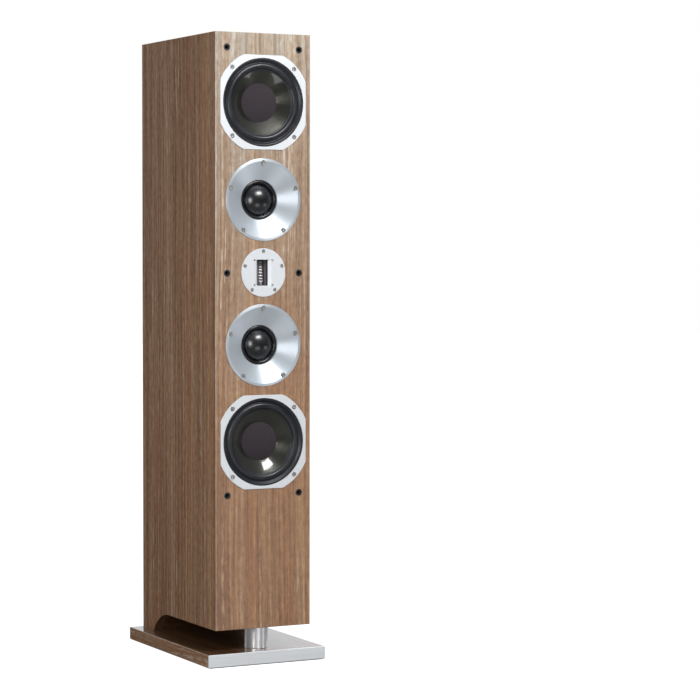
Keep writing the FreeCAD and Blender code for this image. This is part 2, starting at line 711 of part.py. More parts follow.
def mid_surround(height):
    """The half roll round the dome, with a flange that the faceplate clamps."""
    foot, top = DOME_RADIUS, MID_BACK
    return turned(
        height,
        (foot, top + 0.4), (foot + 0.5, top), ((36.6, top - 3.3), (40.2, top)), (46, top),
        (46, MID_PLATE_NEAR), (39.6, MID_PLATE_NEAR), (39.6, top + 0.3),
        ((36.6, top - 2.7), (33.6, top + 0.3)), (33.6, top + 1.2), (foot, top + 1.2),
    )


def mid_coil(height):
    """The aluminium former glued to the dome's foot, with its winding."""
    inner, wound = DOME_RADIUS - 0.4, DOME_RADIUS + 0.7
    return turned(
        height,
        (inner, DOME_FOOT), (DOME_RADIUS, DOME_FOOT), (DOME_RADIUS, DOME_FOOT + 1), (wound, DOME_FOOT + 1),
        (wound, DOME_FOOT + 8), (DOME_RADIUS, DOME_FOOT + 8), (DOME_RADIUS, DOME_FOOT + 10),
        (inner, DOME_FOOT + 10),
    )


def mid_motor_steel(height):
    """The front plate, and the yoke whose wide pole stands inside the dome's coil."""
    plate = disc(height, DOME_RADIUS + 1.3, MID_STEEL_RADIUS, MID_PLATE_NEAR, MID_PLATE_FAR)
    pole = DOME_RADIUS - 1.0
    yoke = turned(
        height,
        (MID_YOKE_BORE, 27), (pole, 27), (pole, MID_MAGNET_FAR), (MID_STEEL_RADIUS, MID_MAGNET_FAR),
        (MID_STEEL_RADIUS, MID_YOKE_FAR), (MID_YOKE_BORE, MID_YOKE_FAR),
    )
    return [plate, yoke]


def mid_magnet(height):
    return disc(height, 42, 62, MID_PLATE_FAR, MID_MAGNET_FAR)


def mid_rear_cup(height):
    """The sealed chamber behind the dome."""
    cup = disc(height, 0, MID_CUP_RADIUS, MID_YOKE_FAR, MID_CUP_FAR)
    cup = cup.makeFillet(6, edges_on(cup, "y", FRONT + MID_CUP_FAR))
    hollow = disc(height, 0, MID_CUP_RADIUS - MID_CUP_WALL, MID_YOKE_FAR - 1, MID_CUP_FAR - MID_CUP_WALL)
    return cup.cut(hollow)


# ================================================================ ribbon tweeter
def tweeter_faceplate():
    plate = turned(
        TWEETER_HEIGHT,
        (0, -FLANGE_PROUD), (TWEETER_RADIUS - FLANGE_CHAMFER, -FLANGE_PROUD),
        (TWEETER_RADIUS, FLANGE_CHAMFER - FLANGE_PROUD), (TWEETER_RADIUS, FLANGE_BACK), (0, FLANGE_BACK),
    )
    cuts = [tweeter_slot()]
    for x, z in tweeter_screws():
        cuts += screw_pocket(M4, x, z, M4["seat"])
    for x, z in slot_screws():
        cuts += screw_pocket(M2, x, z, M2["seat"])
    return plate.cut(cuts)


def tweeter_slot():
    """The slot in front of the ribbon: straight ends, with both long sides flared to the front."""
    near, far = -FLANGE_PROUD, FLANGE_BACK + 1
    wide = SLOT_HALF_WIDTH + SLOT_FLARE
    side = [(wide, near - 1), (wide, near), (SLOT_HALF_WIDTH, SLOT_THROAT), (SLOT_HALF_WIDTH, far)]
    corners = side + [(-x, d) for x, d in reversed(side)]
    points = [V(x, FRONT + d, TWEETER_HEIGHT - SLOT_HALF_HEIGHT) for x, d in corners]
    return Part.Face(Part.makePolygon(points + [points[0]])).extrude(V(0, 0, 2 * SLOT_HALF_HEIGHT))


def tweeter_ribbon():
    """The pleated foil: shallow rolls one after another, each a pair of arcs."""
    low = TWEETER_HEIGHT - RIBBON_PLEATS * RIBBON_PITCH / 2
    front, back = [], []
    for i in range(2 * RIBBON_PLEATS):
        crest = -PLEAT_DEPTH / 2 if i % 2 else PLEAT_DEPTH / 2
        start, middle, end = [low + (i + part) * RIBBON_PITCH / 2 for part in (0.0, 0.5, 1.0)]
        for path, shift in ((front, 0.0), (back, FOIL_THICKNESS)):
            y = FRONT + RIBBON_DEPTH + shift
            path.append((V(0, y, start), V(0, y + crest, middle), V(0, y, end)))
    edges = [Part.Arc(*arc).toShape() for arc in front + back]
    edges.append(Part.LineSegment(front[0][0], back[0][0]).toShape())
    edges.append(Part.LineSegment(front[-1][2], back[-1][2]).toShape())
    face = Part.Face(Part.Wire(Part.__sortEdges__(edges)))
    foil = face.extrude(V(2 * RIBBON_HALF_WIDTH, 0, 0))
    foil.translate(V(-RIBBON_HALF_WIDTH, 0, 0))
    return foil


def tweeter_magnets():
    """Two bar magnets, one each side of the ribbon."""
    z = (TWEETER_HEIGHT - 27, TWEETER_HEIGHT + 27)
    return [box(sorted((s * 5.5, s * 17.5)), (FRONT + 9, FRONT + 24), z) for s in (-1, 1)]


def tweeter_housing():
    """The round body behind the faceplate, hollow behind the slot."""
    body = disc(TWEETER_HEIGHT, 0, TWEETER_BODY, FLANGE_BACK, HOUSING_FAR)
    cavity_z = (TWEETER_HEIGHT - 27.5, TWEETER_HEIGHT + 27.5)
    window_z = (TWEETER_HEIGHT - SLOT_HALF_HEIGHT, TWEETER_HEIGHT + SLOT_HALF_HEIGHT)
    cavity = box((-18, 18), (FRONT + 8.5, FRONT + 46), cavity_z)
    window = box((-SLOT_HALF_WIDTH, SLOT_HALF_WIDTH), (FRONT, FRONT + 9), window_z)
    reach = M2["seat"] + M2["length"]
    holes = [rod(M2["shank"], V(x, FRONT, z), Y_AXIS, reach) for x, z in slot_screws()]
    return body.cut([cavity, window] + holes)


# ================================================================ gaskets and screws
def driver_gaskets():
    """Thin foam rings between each driver's flange and the floor of its rebate."""
    rings = [(h, BASS_BODY, BASS_GASKET) for h in BASS_HEIGHTS.values()]
    rings += [(h, MID_BODY, MID_GASKET) for h in MID_HEIGHTS.values()]
    rings.append((TWEETER_HEIGHT, TWEETER_BODY, TWEETER_GASKET))
    return [disc(h, inner + REBATE_CLEARANCE, outer, FLANGE_BACK, REBATE_DEPTH) for h, inner, outer in rings]


def small_screws():
    """The tweeter's five M4 screws, the four at its slot, and the four of the terminal cup."""
    found = [screw(M4, x, z, M4["seat"]) for x, z in tweeter_screws()]
    found += [screw(M2, x, z, M2["seat"]) for x, z in slot_screws()]
    for x, z in cup_screws():
        one = screw(M4, 0, 0, 0)
        one.rotate(V(0, FRONT, 0), Z_AXIS, 180)
        one.translate(V(x, BACK + CUP_FLANGE_THICKNESS - FRONT, z))
        found.append(one)
    return found


def fixing_screws():
    """Every socket-head screw: four in each bass flange, five in each midrange plate, and the small ones."""
    places = [p for h in BASS_HEIGHTS.values() for p in bass_screws(h)]
    places += [p for h in MID_HEIGHTS.values() for p in mid_screws(h)]
    return [screw(M5, x, z, M5["seat"]) for x, z in places] + small_screws()


# ================================================================ terminals, crossover and wiring
def cup_screws():
    return [(sx * CUP_SCREWS[0], CUP_HEIGHT + sz * CUP_SCREWS[1]) for sx in (-1, 1) for sz in (-1, 1)]


def cup_box(half_x, half_z, y):
    return box((-half_x, half_x), y, (CUP_HEIGHT - half_z, CUP_HEIGHT + half_z))


def terminal_cup():
    """A recessed tray in the back board with room for fingers round the two binding posts."""
    inner_x, inner_z = CUP_INNER
    shell = cup_box(inner_x + CUP_WALL, inner_z + CUP_WALL, (CUP_FLOOR - CUP_WALL, BACK))
    flange = cup_box(CUP_FLANGE[0], CUP_FLANGE[1], (BACK, BACK + CUP_FLANGE_THICKNESS))
    corners = [e for e in flange.Edges if abs(e.BoundBox.YLength - CUP_FLANGE_THICKNESS) < 1e-6]
    flange = flange.makeFillet(8, corners)
    recess = cup_box(inner_x, inner_z, (CUP_FLOOR, BACK + 10))
    edges = [e for e in recess.Edges if e.BoundBox.YLength > 20]
    recess = recess.makeFillet(6, edges)
    holes = [rod(STUD_RADIUS, V(s * POST_X, CUP_FLOOR + 1, CUP_HEIGHT), V(0, -1, 0), 10) for s in (-1, 1)]
    holes += [rod(M4["shank"], V(x, BACK + 10, z), V(0, -1, 0), 11) for x, z in cup_screws()]
    return shell.fuse(flange).removeSplitter().cut([recess] + holes)


def terminal_post(sign):
    """A stud with a collar, a cross hole for bare wire and a blind bore for a 4 mm plug."""
    x = sign * POST_X
    collar = rod(COLLAR_RADIUS, V(x, CUP_FLOOR, CUP_HEIGHT), Y_AXIS, COLLAR_HEIGHT)
    stud = rod(STUD_RADIUS, V(x, CUP_FLOOR - POST_TAIL, CUP_HEIGHT), Y_AXIS, POST_TAIL + STUD_LENGTH)
    plug = rod(PLUG_RADIUS, V(x, CUP_FLOOR + STUD_LENGTH + 1, CUP_HEIGHT), V(0, -1, 0), 1 + PLUG_DEPTH)
    cross_hole = rod(WIRE_HOLE, V(x, CUP_FLOOR + COLLAR_HEIGHT + 2.2, CUP_HEIGHT - 10), Z_AXIS, 20)
    back_nut = hexagon(7.5, V(x, CUP_FLOOR - CUP_WALL - 5, CUP_HEIGHT), 5)
    return collar.fuse([stud, back_nut]).removeSplitter().cut([plug, cross_hole])


def terminal_washer(sign):
    """The captive washer under the nut, which slides on the stud but doesn't turn."""
    start = V(sign * POST_X, CUP_FLOOR + COLLAR_HEIGHT, CUP_HEIGHT)
    washer = rod(WASHER_RADIUS, start, Y_AXIS, WASHER_THICKNESS)
    return washer.cut(rod(STUD_RADIUS + RUNNING_CLEARANCE, start, Y_AXIS, WASHER_THICKNESS))


def terminal_nut(sign):
    """The brass insert that runs on the stud's thread."""
    start = V(sign * POST_X, CUP_FLOOR + COLLAR_HEIGHT + WASHER_THICKNESS, CUP_HEIGHT)
    sleeve = rod(NUT_RADIUS, start, Y_AXIS, NUT_LENGTH)
    return sleeve.cut(rod(STUD_RADIUS + RUNNING_CLEARANCE, start, Y_AXIS, NUT_LENGTH))


def terminal_cap(sign):
    """The fluted knob round the insert, open at its end for a plug."""
    x = sign * POST_X
    nut_near = CUP_FLOOR + COLLAR_HEIGHT + WASHER_THICKNESS
    near = nut_near + 0.5
    stud_end = CUP_FLOOR + STUD_LENGTH + 0.2
    far = stud_end + 1.3
    cap = rod(CAP_RADIUS, V(x, near, CUP_HEIGHT), Y_AXIS, far - near)
    rim = [e for e in cap.Edges if e.Curve.TypeId == "Part::GeomCircle" and e.BoundBox.YMin > far - 0.1]
    cap = cap.makeChamfer(1.0, rim)
    cuts = [
        rod(NUT_RADIUS, V(x, near, CUP_HEIGHT), Y_AXIS, nut_near + NUT_LENGTH - near),
        rod(STUD_RADIUS + 0.3, V(x, near, CUP_HEIGHT), Y_AXIS, stud_end - near),
        rod(PLUG_RADIUS + 0.35, V(x, near, CUP_HEIGHT), Y_AXIS, far - near + 1),
    ]
    for px, pz in spread(CAP_FLUTES, CAP_RADIUS + 0.5):
        cuts.append(rod(1.1, V(x + px, near + 3, CUP_HEIGHT + pz), Y_AXIS, far - near))
    return cap.cut(cuts)


def crossover_board():
    """The circuit board on four spacers behind which its leads are soldered."""
    z = (BOARD_CENTRE - BOARD_HALF[1], BOARD_CENTRE + BOARD_HALF[1])
    board = box((-BOARD_HALF[0], BOARD_HALF[0]), (BOARD_Y - BOARD_THICKNESS, BOARD_Y), z)
    reach_x, reach_z = BOARD_HALF[0] - 6, BOARD_HALF[1] - 6
    corners = [(sx * reach_x, BOARD_CENTRE + sz * reach_z) for sx in (-1, 1) for sz in (-1, 1)]
    spacers = [rod(4, V(x, BOARD_Y, cz), Y_AXIS, BACK_INNER - BOARD_Y) for x, cz in corners]
    return board.fuse(spacers).removeSplitter()


def crossover_coils():
    """Air-cored inductors on round bobbins, their axes along Y."""
    found = []
    for x, z, radius, length in COILS:
        start = V(x, BOARD_Y - BOARD_THICKNESS, BOARD_CENTRE + z)
        bobbin = rod(radius, start, V(0, -1, 0), length)
        inside = start - V(0, 2, 0)
        waist = rod(radius, inside, V(0, -1, 0), length - 4)
        waist = waist.cut(rod(radius - 1.5, inside, V(0, -1, 0), length - 4))
        bore = rod(radius * 0.4, start, V(0, -1, 0), length + 1)
        found.append(bobbin.cut([waist, bore]))
    return found


def crossover_capacitors():
    """Film capacitors lying along Z against the board."""
    found = []
    for x, z, radius, length in CAPACITORS:
        start = V(x, BOARD_Y - BOARD_THICKNESS - radius, BOARD_CENTRE + z - length / 2)
        body = rod(radius, start, Z_AXIS, length)
        found.append(body.makeChamfer(1.2, [e for e in body.Edges if e.Curve.TypeId == "Part::GeomCircle"]))
    return found


def wire(points, radius):
    """A lead along straight runs joined by tangent arcs."""
    edges = []
    here = points[0]
    for before, corner, after in zip(points, points[1:], points[2:]):
        first, second = corner - before, after - corner
        reach = 0.45 * min(first.Length, second.Length)
        first.normalize()
        second.normalize()
        half_turn = first.getAngle(second) / 2
        bend = reach / math.tan(half_turn)
        start, end = corner - first * reach, corner + second * reach
        inward = second - first
        inward.normalize()
        middle = corner + inward * (bend / math.cos(half_turn) - bend)
        edges.append(Part.LineSegment(here, start).toShape())
        edges.append(Part.Arc(start, middle, end).toShape())
        here = end
    edges.append(Part.LineSegment(here, points[-1]).toShape())
    path = Part.Wire(edges)
    tangent = points[1] - points[0]
    ring = Part.Wire([Part.Circle(points[0], tangent, radius).toShape()])
    return path.makePipeShell([ring], True, True)


def wiring_loom():
    """Leads from the posts to the crossover, and from it to each driver through the braces' windows."""
    leads = []
    board_front = BOARD_Y - BOARD_THICKNESS
    for sign in (-1, 1):
        tag = V(sign * POST_X, CUP_FLOOR - POST_TAIL, CUP_HEIGHT)
        end = V(sign * 62, board_front, BOARD_CENTRE - 74)
        middle = [V(sign * 27, 118, 285), V(sign * 36, 114, 335), V(sign * 50, 116, 380)]
        leads.append([tag, tag + V(0, -16, 0)] + middle + [end + V(0, -22, 0), end])
    trunk = FRONT + 240.0
    targets = [
        (BASS_HEIGHTS["upper"], YOKE_FAR, -30.0), (MID_HEIGHTS["upper"], MID_CUP_FAR, -15.0),
        (TWEETER_HEIGHT, HOUSING_FAR, 0.0), (MID_HEIGHTS["lower"], MID_CUP_FAR, 15.0),
    ]
    for height, far, x in targets:
        start = V(x, board_front, BOARD_CENTRE + 75.5)
        end = V(x * 0.5, FRONT + far, height)
        rise = [V(x, trunk + 14, BOARD_CENTRE + 84), V(x, trunk, 600), V(x, trunk, height - 70)]
        turn = [V(x * 0.6, trunk - 40, height - 20), end + V(0, 22, 0), end]
        leads.append([start, start + V(0, -22, 0)] + rise + turn)
    start = V(0, board_front, BOARD_CENTRE - 20)
    end = V(10, FRONT + YOKE_FAR, BASS_HEIGHTS["lower"] + 12)
    leads.append([start, start + V(0, -34, 0), V(2, 60, 448), V(6, -10, 458), end + V(0, 30, 0), end])
    return [wire(points, LEAD_RADIUS) for points in leads]


# ================================================================ the assembly
def build():
    nodes = {
        "front_baffle": front_baffle(),
        "left_side_panel": side_panel(-1),
        "right_side_panel": side_panel(1),
        "top_panel": top_panel(),
        "bottom_panel": bottom_panel(),
        "back_panel": back_panel(),
        "rear_leg": rear_leg(),
        "shelf_braces": shelf_braces(),
        "acoustic_lining": acoustic_lining(),
        "grille_sockets": grille_sockets(),
        "port_tube": port_tube(),
        "plinth_board": plinth_board(),
        "plinth_trim": plinth_trim(),
        "front_column": front_column(),
        "base_bolts": base_bolts(),
        "spike_inserts": spike_inserts(),
        "floor_pads": floor_pads(),
        "bass_motor_steel": [s for h in BASS_HEIGHTS.values() for s in bass_motor_steel(h)],
        "bass_magnets": [bass_magnet(h) for h in BASS_HEIGHTS.values()],
        "mid_motor_steel": [s for h in MID_HEIGHTS.values() for s in mid_motor_steel(h)],
        "mid_magnets": [mid_magnet(h) for h in MID_HEIGHTS.values()],
        "mid_rear_cups": [mid_rear_cup(h) for h in MID_HEIGHTS.values()],
        "tweeter_faceplate": tweeter_faceplate(),
        "tweeter_ribbon": tweeter_ribbon(),
        "tweeter_magnets": tweeter_magnets(),
        "tweeter_housing": tweeter_housing(),
        "driver_gaskets": driver_gaskets(),
        "fixing_screws": fixing_screws(),
        "terminal_cup": terminal_cup(),
        "terminal_posts": [terminal_post(s) for s in (-1, 1)],
        "crossover_board": crossover_board(),
        "crossover_coils": crossover_coils(),
        "crossover_capacitors": crossover_capacitors(),
        "wiring_loom": wiring_loom(),
    }
    for place, height in BASS_HEIGHTS.items():
        nodes[place + "_bass_frame"] = bass_frame(height)
        nodes[place + "_bass_surround"] = bass_surround(height)
        nodes[place + "_bass_cone"] = bass_cone(height)
        nodes[place + "_bass_dust_cap"] = bass_dust_cap(height)
        nodes[place + "_bass_coil"] = bass_coil(height)
        nodes[place + "_bass_spider"] = bass_spider(height)
    for place, height in MID_HEIGHTS.items():
        nodes[place + "_mid_faceplate"] = mid_faceplate(height)
        nodes[place + "_mid_dome"] = mid_dome(height)
        nodes[place + "_mid_surround"] = mid_surround(height)
        nodes[place + "_mid_coil"] = mid_coil(height)
    for place, sign in (("left", -1), ("right", 1)):
        nodes[place + "_terminal_washer"] = terminal_washer(sign)
        nodes[place + "_terminal_nut"] = terminal_nut(sign)
        nodes[place + "_terminal_cap"] = terminal_cap(sign)
    return nodes


def main():
    os.makedirs("parts", exist_ok=True)
    for name, shape in build().items():
        solids = shape if isinstance(shape, list) else [shape]
        for solid in solids:
            if not solid.isValid() or solid.Volume <= 0:
                print("BAD SOLID", name, solid.isValid(), solid.Volume)
        whole = Part.makeCompound(solids) if len(solids) > 1 else solids[0]
        whole.exportStep(os.path.join("parts", name + ".step"))


main()
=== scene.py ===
"""The looks of a floorstanding loudspeaker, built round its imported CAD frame.

Pieces that are turned about a driver's axis are remade here as fine lathe meshes; every other CAD node
keeps its shape and gets a procedural material. Profiles are (radius, depth) in millimetres, where depth is
measured backwards from the front of the baffle.
"""

import json
import math

import bmesh
import bpy
import numpy as np
from mathutils import Matrix, Vector


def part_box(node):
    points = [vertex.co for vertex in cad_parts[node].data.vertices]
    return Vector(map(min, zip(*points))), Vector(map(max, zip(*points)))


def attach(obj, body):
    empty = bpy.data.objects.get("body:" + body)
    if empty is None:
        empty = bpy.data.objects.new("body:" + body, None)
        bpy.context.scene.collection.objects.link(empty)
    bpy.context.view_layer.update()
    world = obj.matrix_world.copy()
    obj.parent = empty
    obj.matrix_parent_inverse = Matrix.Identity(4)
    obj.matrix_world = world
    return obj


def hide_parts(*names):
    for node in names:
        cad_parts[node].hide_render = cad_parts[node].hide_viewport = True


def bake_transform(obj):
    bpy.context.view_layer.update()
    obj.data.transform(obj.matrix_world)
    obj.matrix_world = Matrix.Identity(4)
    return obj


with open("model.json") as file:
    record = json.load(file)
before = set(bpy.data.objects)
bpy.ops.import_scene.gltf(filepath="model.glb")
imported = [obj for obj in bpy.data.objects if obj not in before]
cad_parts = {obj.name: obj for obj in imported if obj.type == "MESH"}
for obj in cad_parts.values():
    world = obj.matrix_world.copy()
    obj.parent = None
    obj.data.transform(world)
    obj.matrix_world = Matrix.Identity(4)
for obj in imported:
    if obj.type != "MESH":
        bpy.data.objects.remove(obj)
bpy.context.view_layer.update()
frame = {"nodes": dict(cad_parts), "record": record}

MM = 0.001
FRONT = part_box("front_baffle")[0].y
WHOLE_TURN = 2 * math.pi


# ================================================================ studio
# The room is dim low down and lighter above; the backdrop behind the speaker is white.
ROOM_COLOUR = (0.96, 0.98, 1.0)
ROOM_LIGHT = (0.10, 0.55)
ROOM_HEIGHTS = (-0.1, 0.8)
BACKDROP_LIGHT = 1.0
BACKDROP_DIRECTION = (0.459, 0.888, 0.0)
BACKDROP_EDGE = (0.25, 0.6)
# Each light is (place, target, size, power).
LIGHTS = {
    "key": ((0.35, -1.60, 2.19), (0.0, -0.2, 0.6), (0.95, 0.40), 36.5),
    "strip": ((-1.17, -1.26, 0.85), (0.0, -0.2, 0.8), (0.30, 0.7), 10.0),
    "low_middle": ((0.0, -1.45, 0.05), (0.0, -0.2, 0.9), (0.6, 0.6), 3.2),
    "low_right": ((1.45, -1.20, 0.05), (0.0, -0.2, 0.9), (0.6, 0.6), 3.2),
}
FLOOR_SIZE = 30.0
# Half the width and depth of the floor that lies in the plinth's shade.
UNDER_PLINTH = (0.131, 0.210)

# ================================================================ camera
CAMERA_PLACE = (-2.127, -4.690, 0.854)
CAMERA_YAW = -27.334
CAMERA_PITCH = -2.437
CAMERA_ROLL = 0.069
CAMERA_LENS = 125.44


def add_camera():
    data = bpy.data.cameras.new("camera")
    data.lens = CAMERA_LENS
    data.sensor_width = 36.0
    camera = bpy.data.objects.new("camera", data)
    bpy.context.collection.objects.link(camera)
    yaw = Matrix.Rotation(math.radians(CAMERA_YAW), 4, "Z")
    tilt = Matrix.Rotation(math.radians(90 + CAMERA_PITCH), 4, "X")
    roll = Matrix.Rotation(math.radians(CAMERA_ROLL), 4, "Z")
    camera.matrix_world = Matrix.Translation(CAMERA_PLACE) @ yaw @ tilt @ roll
    bpy.context.scene.camera = camera


# ================================================================ material tools
class Look:
    """A material or a world being wired up: each call adds one node and returns its output socket."""

    def __init__(self, name, kind=bpy.data.materials):
        self.material = kind.new(name)
        self.material.use_nodes = True
        self.tree = self.material.node_tree
        self.tree.nodes.clear()
        self.coordinates = self.tree.nodes.new("ShaderNodeTexCoord")

    def put(self, socket, value):
        if isinstance(value, bpy.types.NodeSocket):
            self.tree.links.new(value, socket)
        elif isinstance(value, (tuple, list)) and len(value) == 3 and socket.type == "RGBA":
            socket.default_value = (*value, 1.0)
        else:
            socket.default_value = value

    def node(self, kind, output=0, inputs=None, **settings):
        made = self.tree.nodes.new(kind)
        for name, value in settings.items():
            setattr(made, name, value)
        for name, value in (inputs or {}).items():
            self.put(made.inputs[name], value)
        return made.outputs[output]

    def object_coordinates(self):
        return self.coordinates.outputs["Object"]

    def stretch(self, vector, scale, offset=(0, 0, 0)):
        inputs = {"Vector": vector, "Scale": scale, "Location": offset}
        return self.node("ShaderNodeMapping", inputs=inputs)

    def noise(self, vector, scale=1.0, detail=2.0, roughness=0.5, distortion=0.0, output=0):
        inputs = {"Vector": vector, "Scale": scale, "Detail": detail}
        inputs.update({"Roughness": roughness, "Distortion": distortion})
        return self.node("ShaderNodeTexNoise", output, inputs)

    def math(self, operation, a, b=0.0):
        return self.node("ShaderNodeMath", inputs={0: a, 1: b}, operation=operation)

    def range(self, value, low, high, to_low=0.0, to_high=1.0):
        inputs = {"Value": value, "From Min": low, "From Max": high, "To Min": to_low, "To Max": to_high}
        return self.node("ShaderNodeMapRange", inputs=inputs)

    def mix(self, share, a, b, blend="MIX"):
        made = self.tree.nodes.new("ShaderNodeMix")
        made.data_type = "RGBA"
        made.blend_type = blend
        self.put(made.inputs[0], share)
        self.put(made.inputs[6], a)
        self.put(made.inputs[7], b)
        return made.outputs[2]

    def ramp(self, value, *stops):
        """Each stop is (place, colour)."""
        made = self.tree.nodes.new("ShaderNodeValToRGB")
        self.put(made.inputs[0], value)
        elements = made.color_ramp.elements
        while len(elements) < len(stops):
            elements.new(0.5)
        for element, (place, colour) in zip(elements, stops):
            element.position = place
            element.color = (*colour, 1.0)
        return made.outputs[0]

    def bump(self, height, distance, strength=1.0, normal=None):
        inputs = {"Height": height, "Distance": distance, "Strength": strength}
        if normal is not None:
            inputs["Normal"] = normal
        return self.node("ShaderNodeBump", inputs=inputs)

    def finish(self, **inputs):
        shader = self.tree.nodes.new("ShaderNodeBsdfPrincipled")
        for name, value in inputs.items():
            self.put(shader.inputs[name.replace("_", " ").title().replace("Ior", "IOR")], value)
        output = self.tree.nodes.new("ShaderNodeOutputMaterial")
        self.tree.links.new(shader.outputs[0], output.inputs["Surface"])
        return self.material


def split(look, vector):
    """The X, Y and Z of a vector."""
    made = look.tree.nodes.new("ShaderNodeSeparateXYZ")
    look.put(made.inputs[0], vector)
    return made.outputs


# ================================================================ materials
# Tints for painted sheen high on the front and on sideways faces, for painted shade, and a painted edge
# highlight.
PAINTED_SHEEN_TINT = (1.13, 1.84, 3.15)
SIDE_SHEEN_TINT = (1.0, 1.08, 1.30)
PAINTED_SHADE_TINT = (0.3, 0.26, 0.22)
ARRIS_HIGHLIGHT_COLOUR = (0.66, 0.60, 0.54)
# The directions of the faces that get painted shade: those in the gap under the cabinet, and the plinth's
# top.
INTO_THE_GAP = (0.0, -0.7, -0.7)
UPWARDS = (0.0, 0.0, 1.0)


def veneer(name, grain, offset, depth=1.0, gloss=0.47, specular=1.0, coat=0.5, coat_roughness=0.44,
           sheen_heights=None, shade_facing=None):
    """Straight-grained lacquered veneer. grain is the axis, X, Y or Z, that the grain runs along.

    Faces that look sideways have a duller lacquer than the others, and a painted sheen that makes them paler
    and bluer. sheen_heights is the pair of heights between which a painted sheen turns the leaf greyer and
    lighter. shade_facing is (direction, share): faces that look in that direction get painted shade, darker
    by that share. Chamfered edges get a painted highlight.
    """
    look = Look(name)
    place = look.object_coordinates()

    def along(across, lengthwise):
        return tuple(lengthwise if axis == grain else across for axis in "XYZ")

    def layer(across, lengthwise, detail=3.0, roughness=0.6):
        drawn = look.stretch(place, along(across, lengthwise), offset)
        return look.noise(drawn, detail=detail, roughness=roughness)

    def toned(*colour):
        return tuple(depth * c for c in colour)

    def shaded(share, colour, tint):
        return look.mix(share, colour, look.mix(1.0, colour, tint, "MULTIPLY"))

    wander = look.noise(look.stretch(place, along(2.0, 1.6), offset), detail=1.0, output=1)
    wander = look.node("ShaderNodeVectorMath", inputs={0: wander, 1: (0.5, 0.5, 0.5)}, operation="SUBTRACT")
    wander = look.node("ShaderNodeVectorMath", inputs={0: wander, "Scale": 0.03}, operation="SCALE")
    place = look.node("ShaderNodeVectorMath", inputs={0: place, 1: wander}, operation="ADD")

    fibres = layer(420, 9, 2.0)
    figure = layer(150, 75, 3.0, 0.65)
    total = look.math("MULTIPLY", layer(24, 0.4, 2.0), 0.14)
    for noise, share in ((layer(110, 0.6), 0.40), (fibres, 0.22), (figure, 0.24)):
        total = look.math("ADD", total, look.math("MULTIPLY", noise, share))
    colour = look.ramp(
        look.range(total, 0.38, 0.62),
        (0.0, toned(0.130, 0.053, 0.018)),
        (0.25, toned(0.198, 0.091, 0.036)),
        (0.5, toned(0.265, 0.133, 0.058)),
        (0.75, toned(0.330, 0.181, 0.086)),
        (1.0, toned(0.425, 0.268, 0.146)),
    )
    flecks = look.range(layer(190, 30, 2.0), 0.46, 0.62)
    cream = look.math("MULTIPLY", look.range(layer(150, 0.7, 1.0), 0.57, 0.70, 0.0, 0.6), flecks)
    colour = look.mix(cream, colour, toned(0.56, 0.41, 0.27))
    colour = shaded(look.range(layer(170, 0.8, 1.0), 0.38, 0.28, 0.0, 0.5), colour, (0.55, 0.44, 0.37))
    colour = shaded(look.range(layer(7, 2.2, 2.0), 0.42, 0.62, 0.0, 0.4), colour, (1.0, 0.91, 0.84))
    colour = shaded(look.range(layer(70, 0.7, 2.0), 0.44, 0.62, 0.0, 0.8), colour, (1.08, 0.95, 0.80))
    pores = look.range(layer(1500, 60, 1.0), 0.60, 0.72, 0.0, 0.5)
    colour = shaded(pores, colour, (0.42, 0.36, 0.32))
    turned = look.math("ABSOLUTE", split(look, look.coordinates.outputs["Normal"])[0])
    sideways = look.range(turned, 0.75, 0.9)
    # Painted sheen: between the given heights, faces that don't look sideways turn greyer and lighter towards
    # the top.
    if sheen_heights:
        share = look.range(split(look, look.object_coordinates())[2], *sheen_heights)
        share = look.math("MULTIPLY", share, look.math("SUBTRACT", 1.0, sideways))
        colour = shaded(share, colour, PAINTED_SHEEN_TINT)
    # Painted sheen: faces that look sideways are made paler and bluer.
    colour = shaded(sideways, colour, SIDE_SHEEN_TINT)
    # Painted shade: faces that look in the given direction are darkened.
    if shade_facing:
        direction, share = shade_facing
        inputs = {0: look.coordinates.outputs["Normal"], 1: direction}
        towards = look.node("ShaderNodeVectorMath", 1, inputs, operation="DOT_PRODUCT")
        colour = shaded(look.range(towards, 0.5, 0.65, 0.0, share), colour, PAINTED_SHADE_TINT)
    # Painted highlight: faces at 45 degrees, the chamfered edges, are lightened.
    off_diagonal = look.math("ABSOLUTE", look.math("SUBTRACT", turned, 0.707))
    arris_highlight = look.range(off_diagonal, 0.12, 0.05, 0.0, 0.45)
    colour = look.mix(arris_highlight, colour, ARRIS_HIGHLIGHT_COLOUR)
    rough = look.range(fibres, 0.3, 0.7, gloss + 0.05, gloss - 0.05)
    return look.finish(
        base_color=colour,
        roughness=look.math("ADD", rough, look.math("MULTIPLY", sideways, 0.15)),
        specular_ior_level=look.range(sideways, 0.0, 1.0, specular, 0.25),
        coat_weight=look.range(sideways, 0.0, 1.0, coat, 0.0),
        coat_roughness=coat_roughness,
        normal=look.bump(look.math("SUBTRACT", fibres, pores), 0.00006, 0.5),
    )


def radius_from_axis(look):
    """Distance from the piece's own Y axis."""
    x, _, z = split(look, look.object_coordinates())
    flat = look.node("ShaderNodeCombineXYZ", inputs={0: x, 1: 0.0, 2: z})
    return look.node("ShaderNodeVectorMath", 1, {0: flat}, operation="LENGTH")


def spun_aluminium():
    """Turned on a lathe: fine circular tool lines, which draw every reflection out along the radius."""
    look = Look("spun_aluminium")
    radius = radius_from_axis(look)
    inputs = {"W": look.math("MULTIPLY", radius, 5200), "Detail": 2.0}
    rings = look.node("ShaderNodeTexNoise", inputs=inputs, noise_dimensions="1D")
    tangent = look.node("ShaderNodeTangent", direction_type="RADIAL", axis="Y")
    return look.finish(
        base_color=look.ramp(rings, (0.3, (0.57, 0.62, 0.67)), (0.7, (0.61, 0.66, 0.71))),
        metallic=0.7,
        roughness=look.range(rings, 0.3, 0.7, 0.42, 0.46),
        anisotropic=0.75,
        anisotropic_rotation=0.25,
        tangent=tangent,
        normal=look.bump(rings, 0.000002, 0.4),
    )


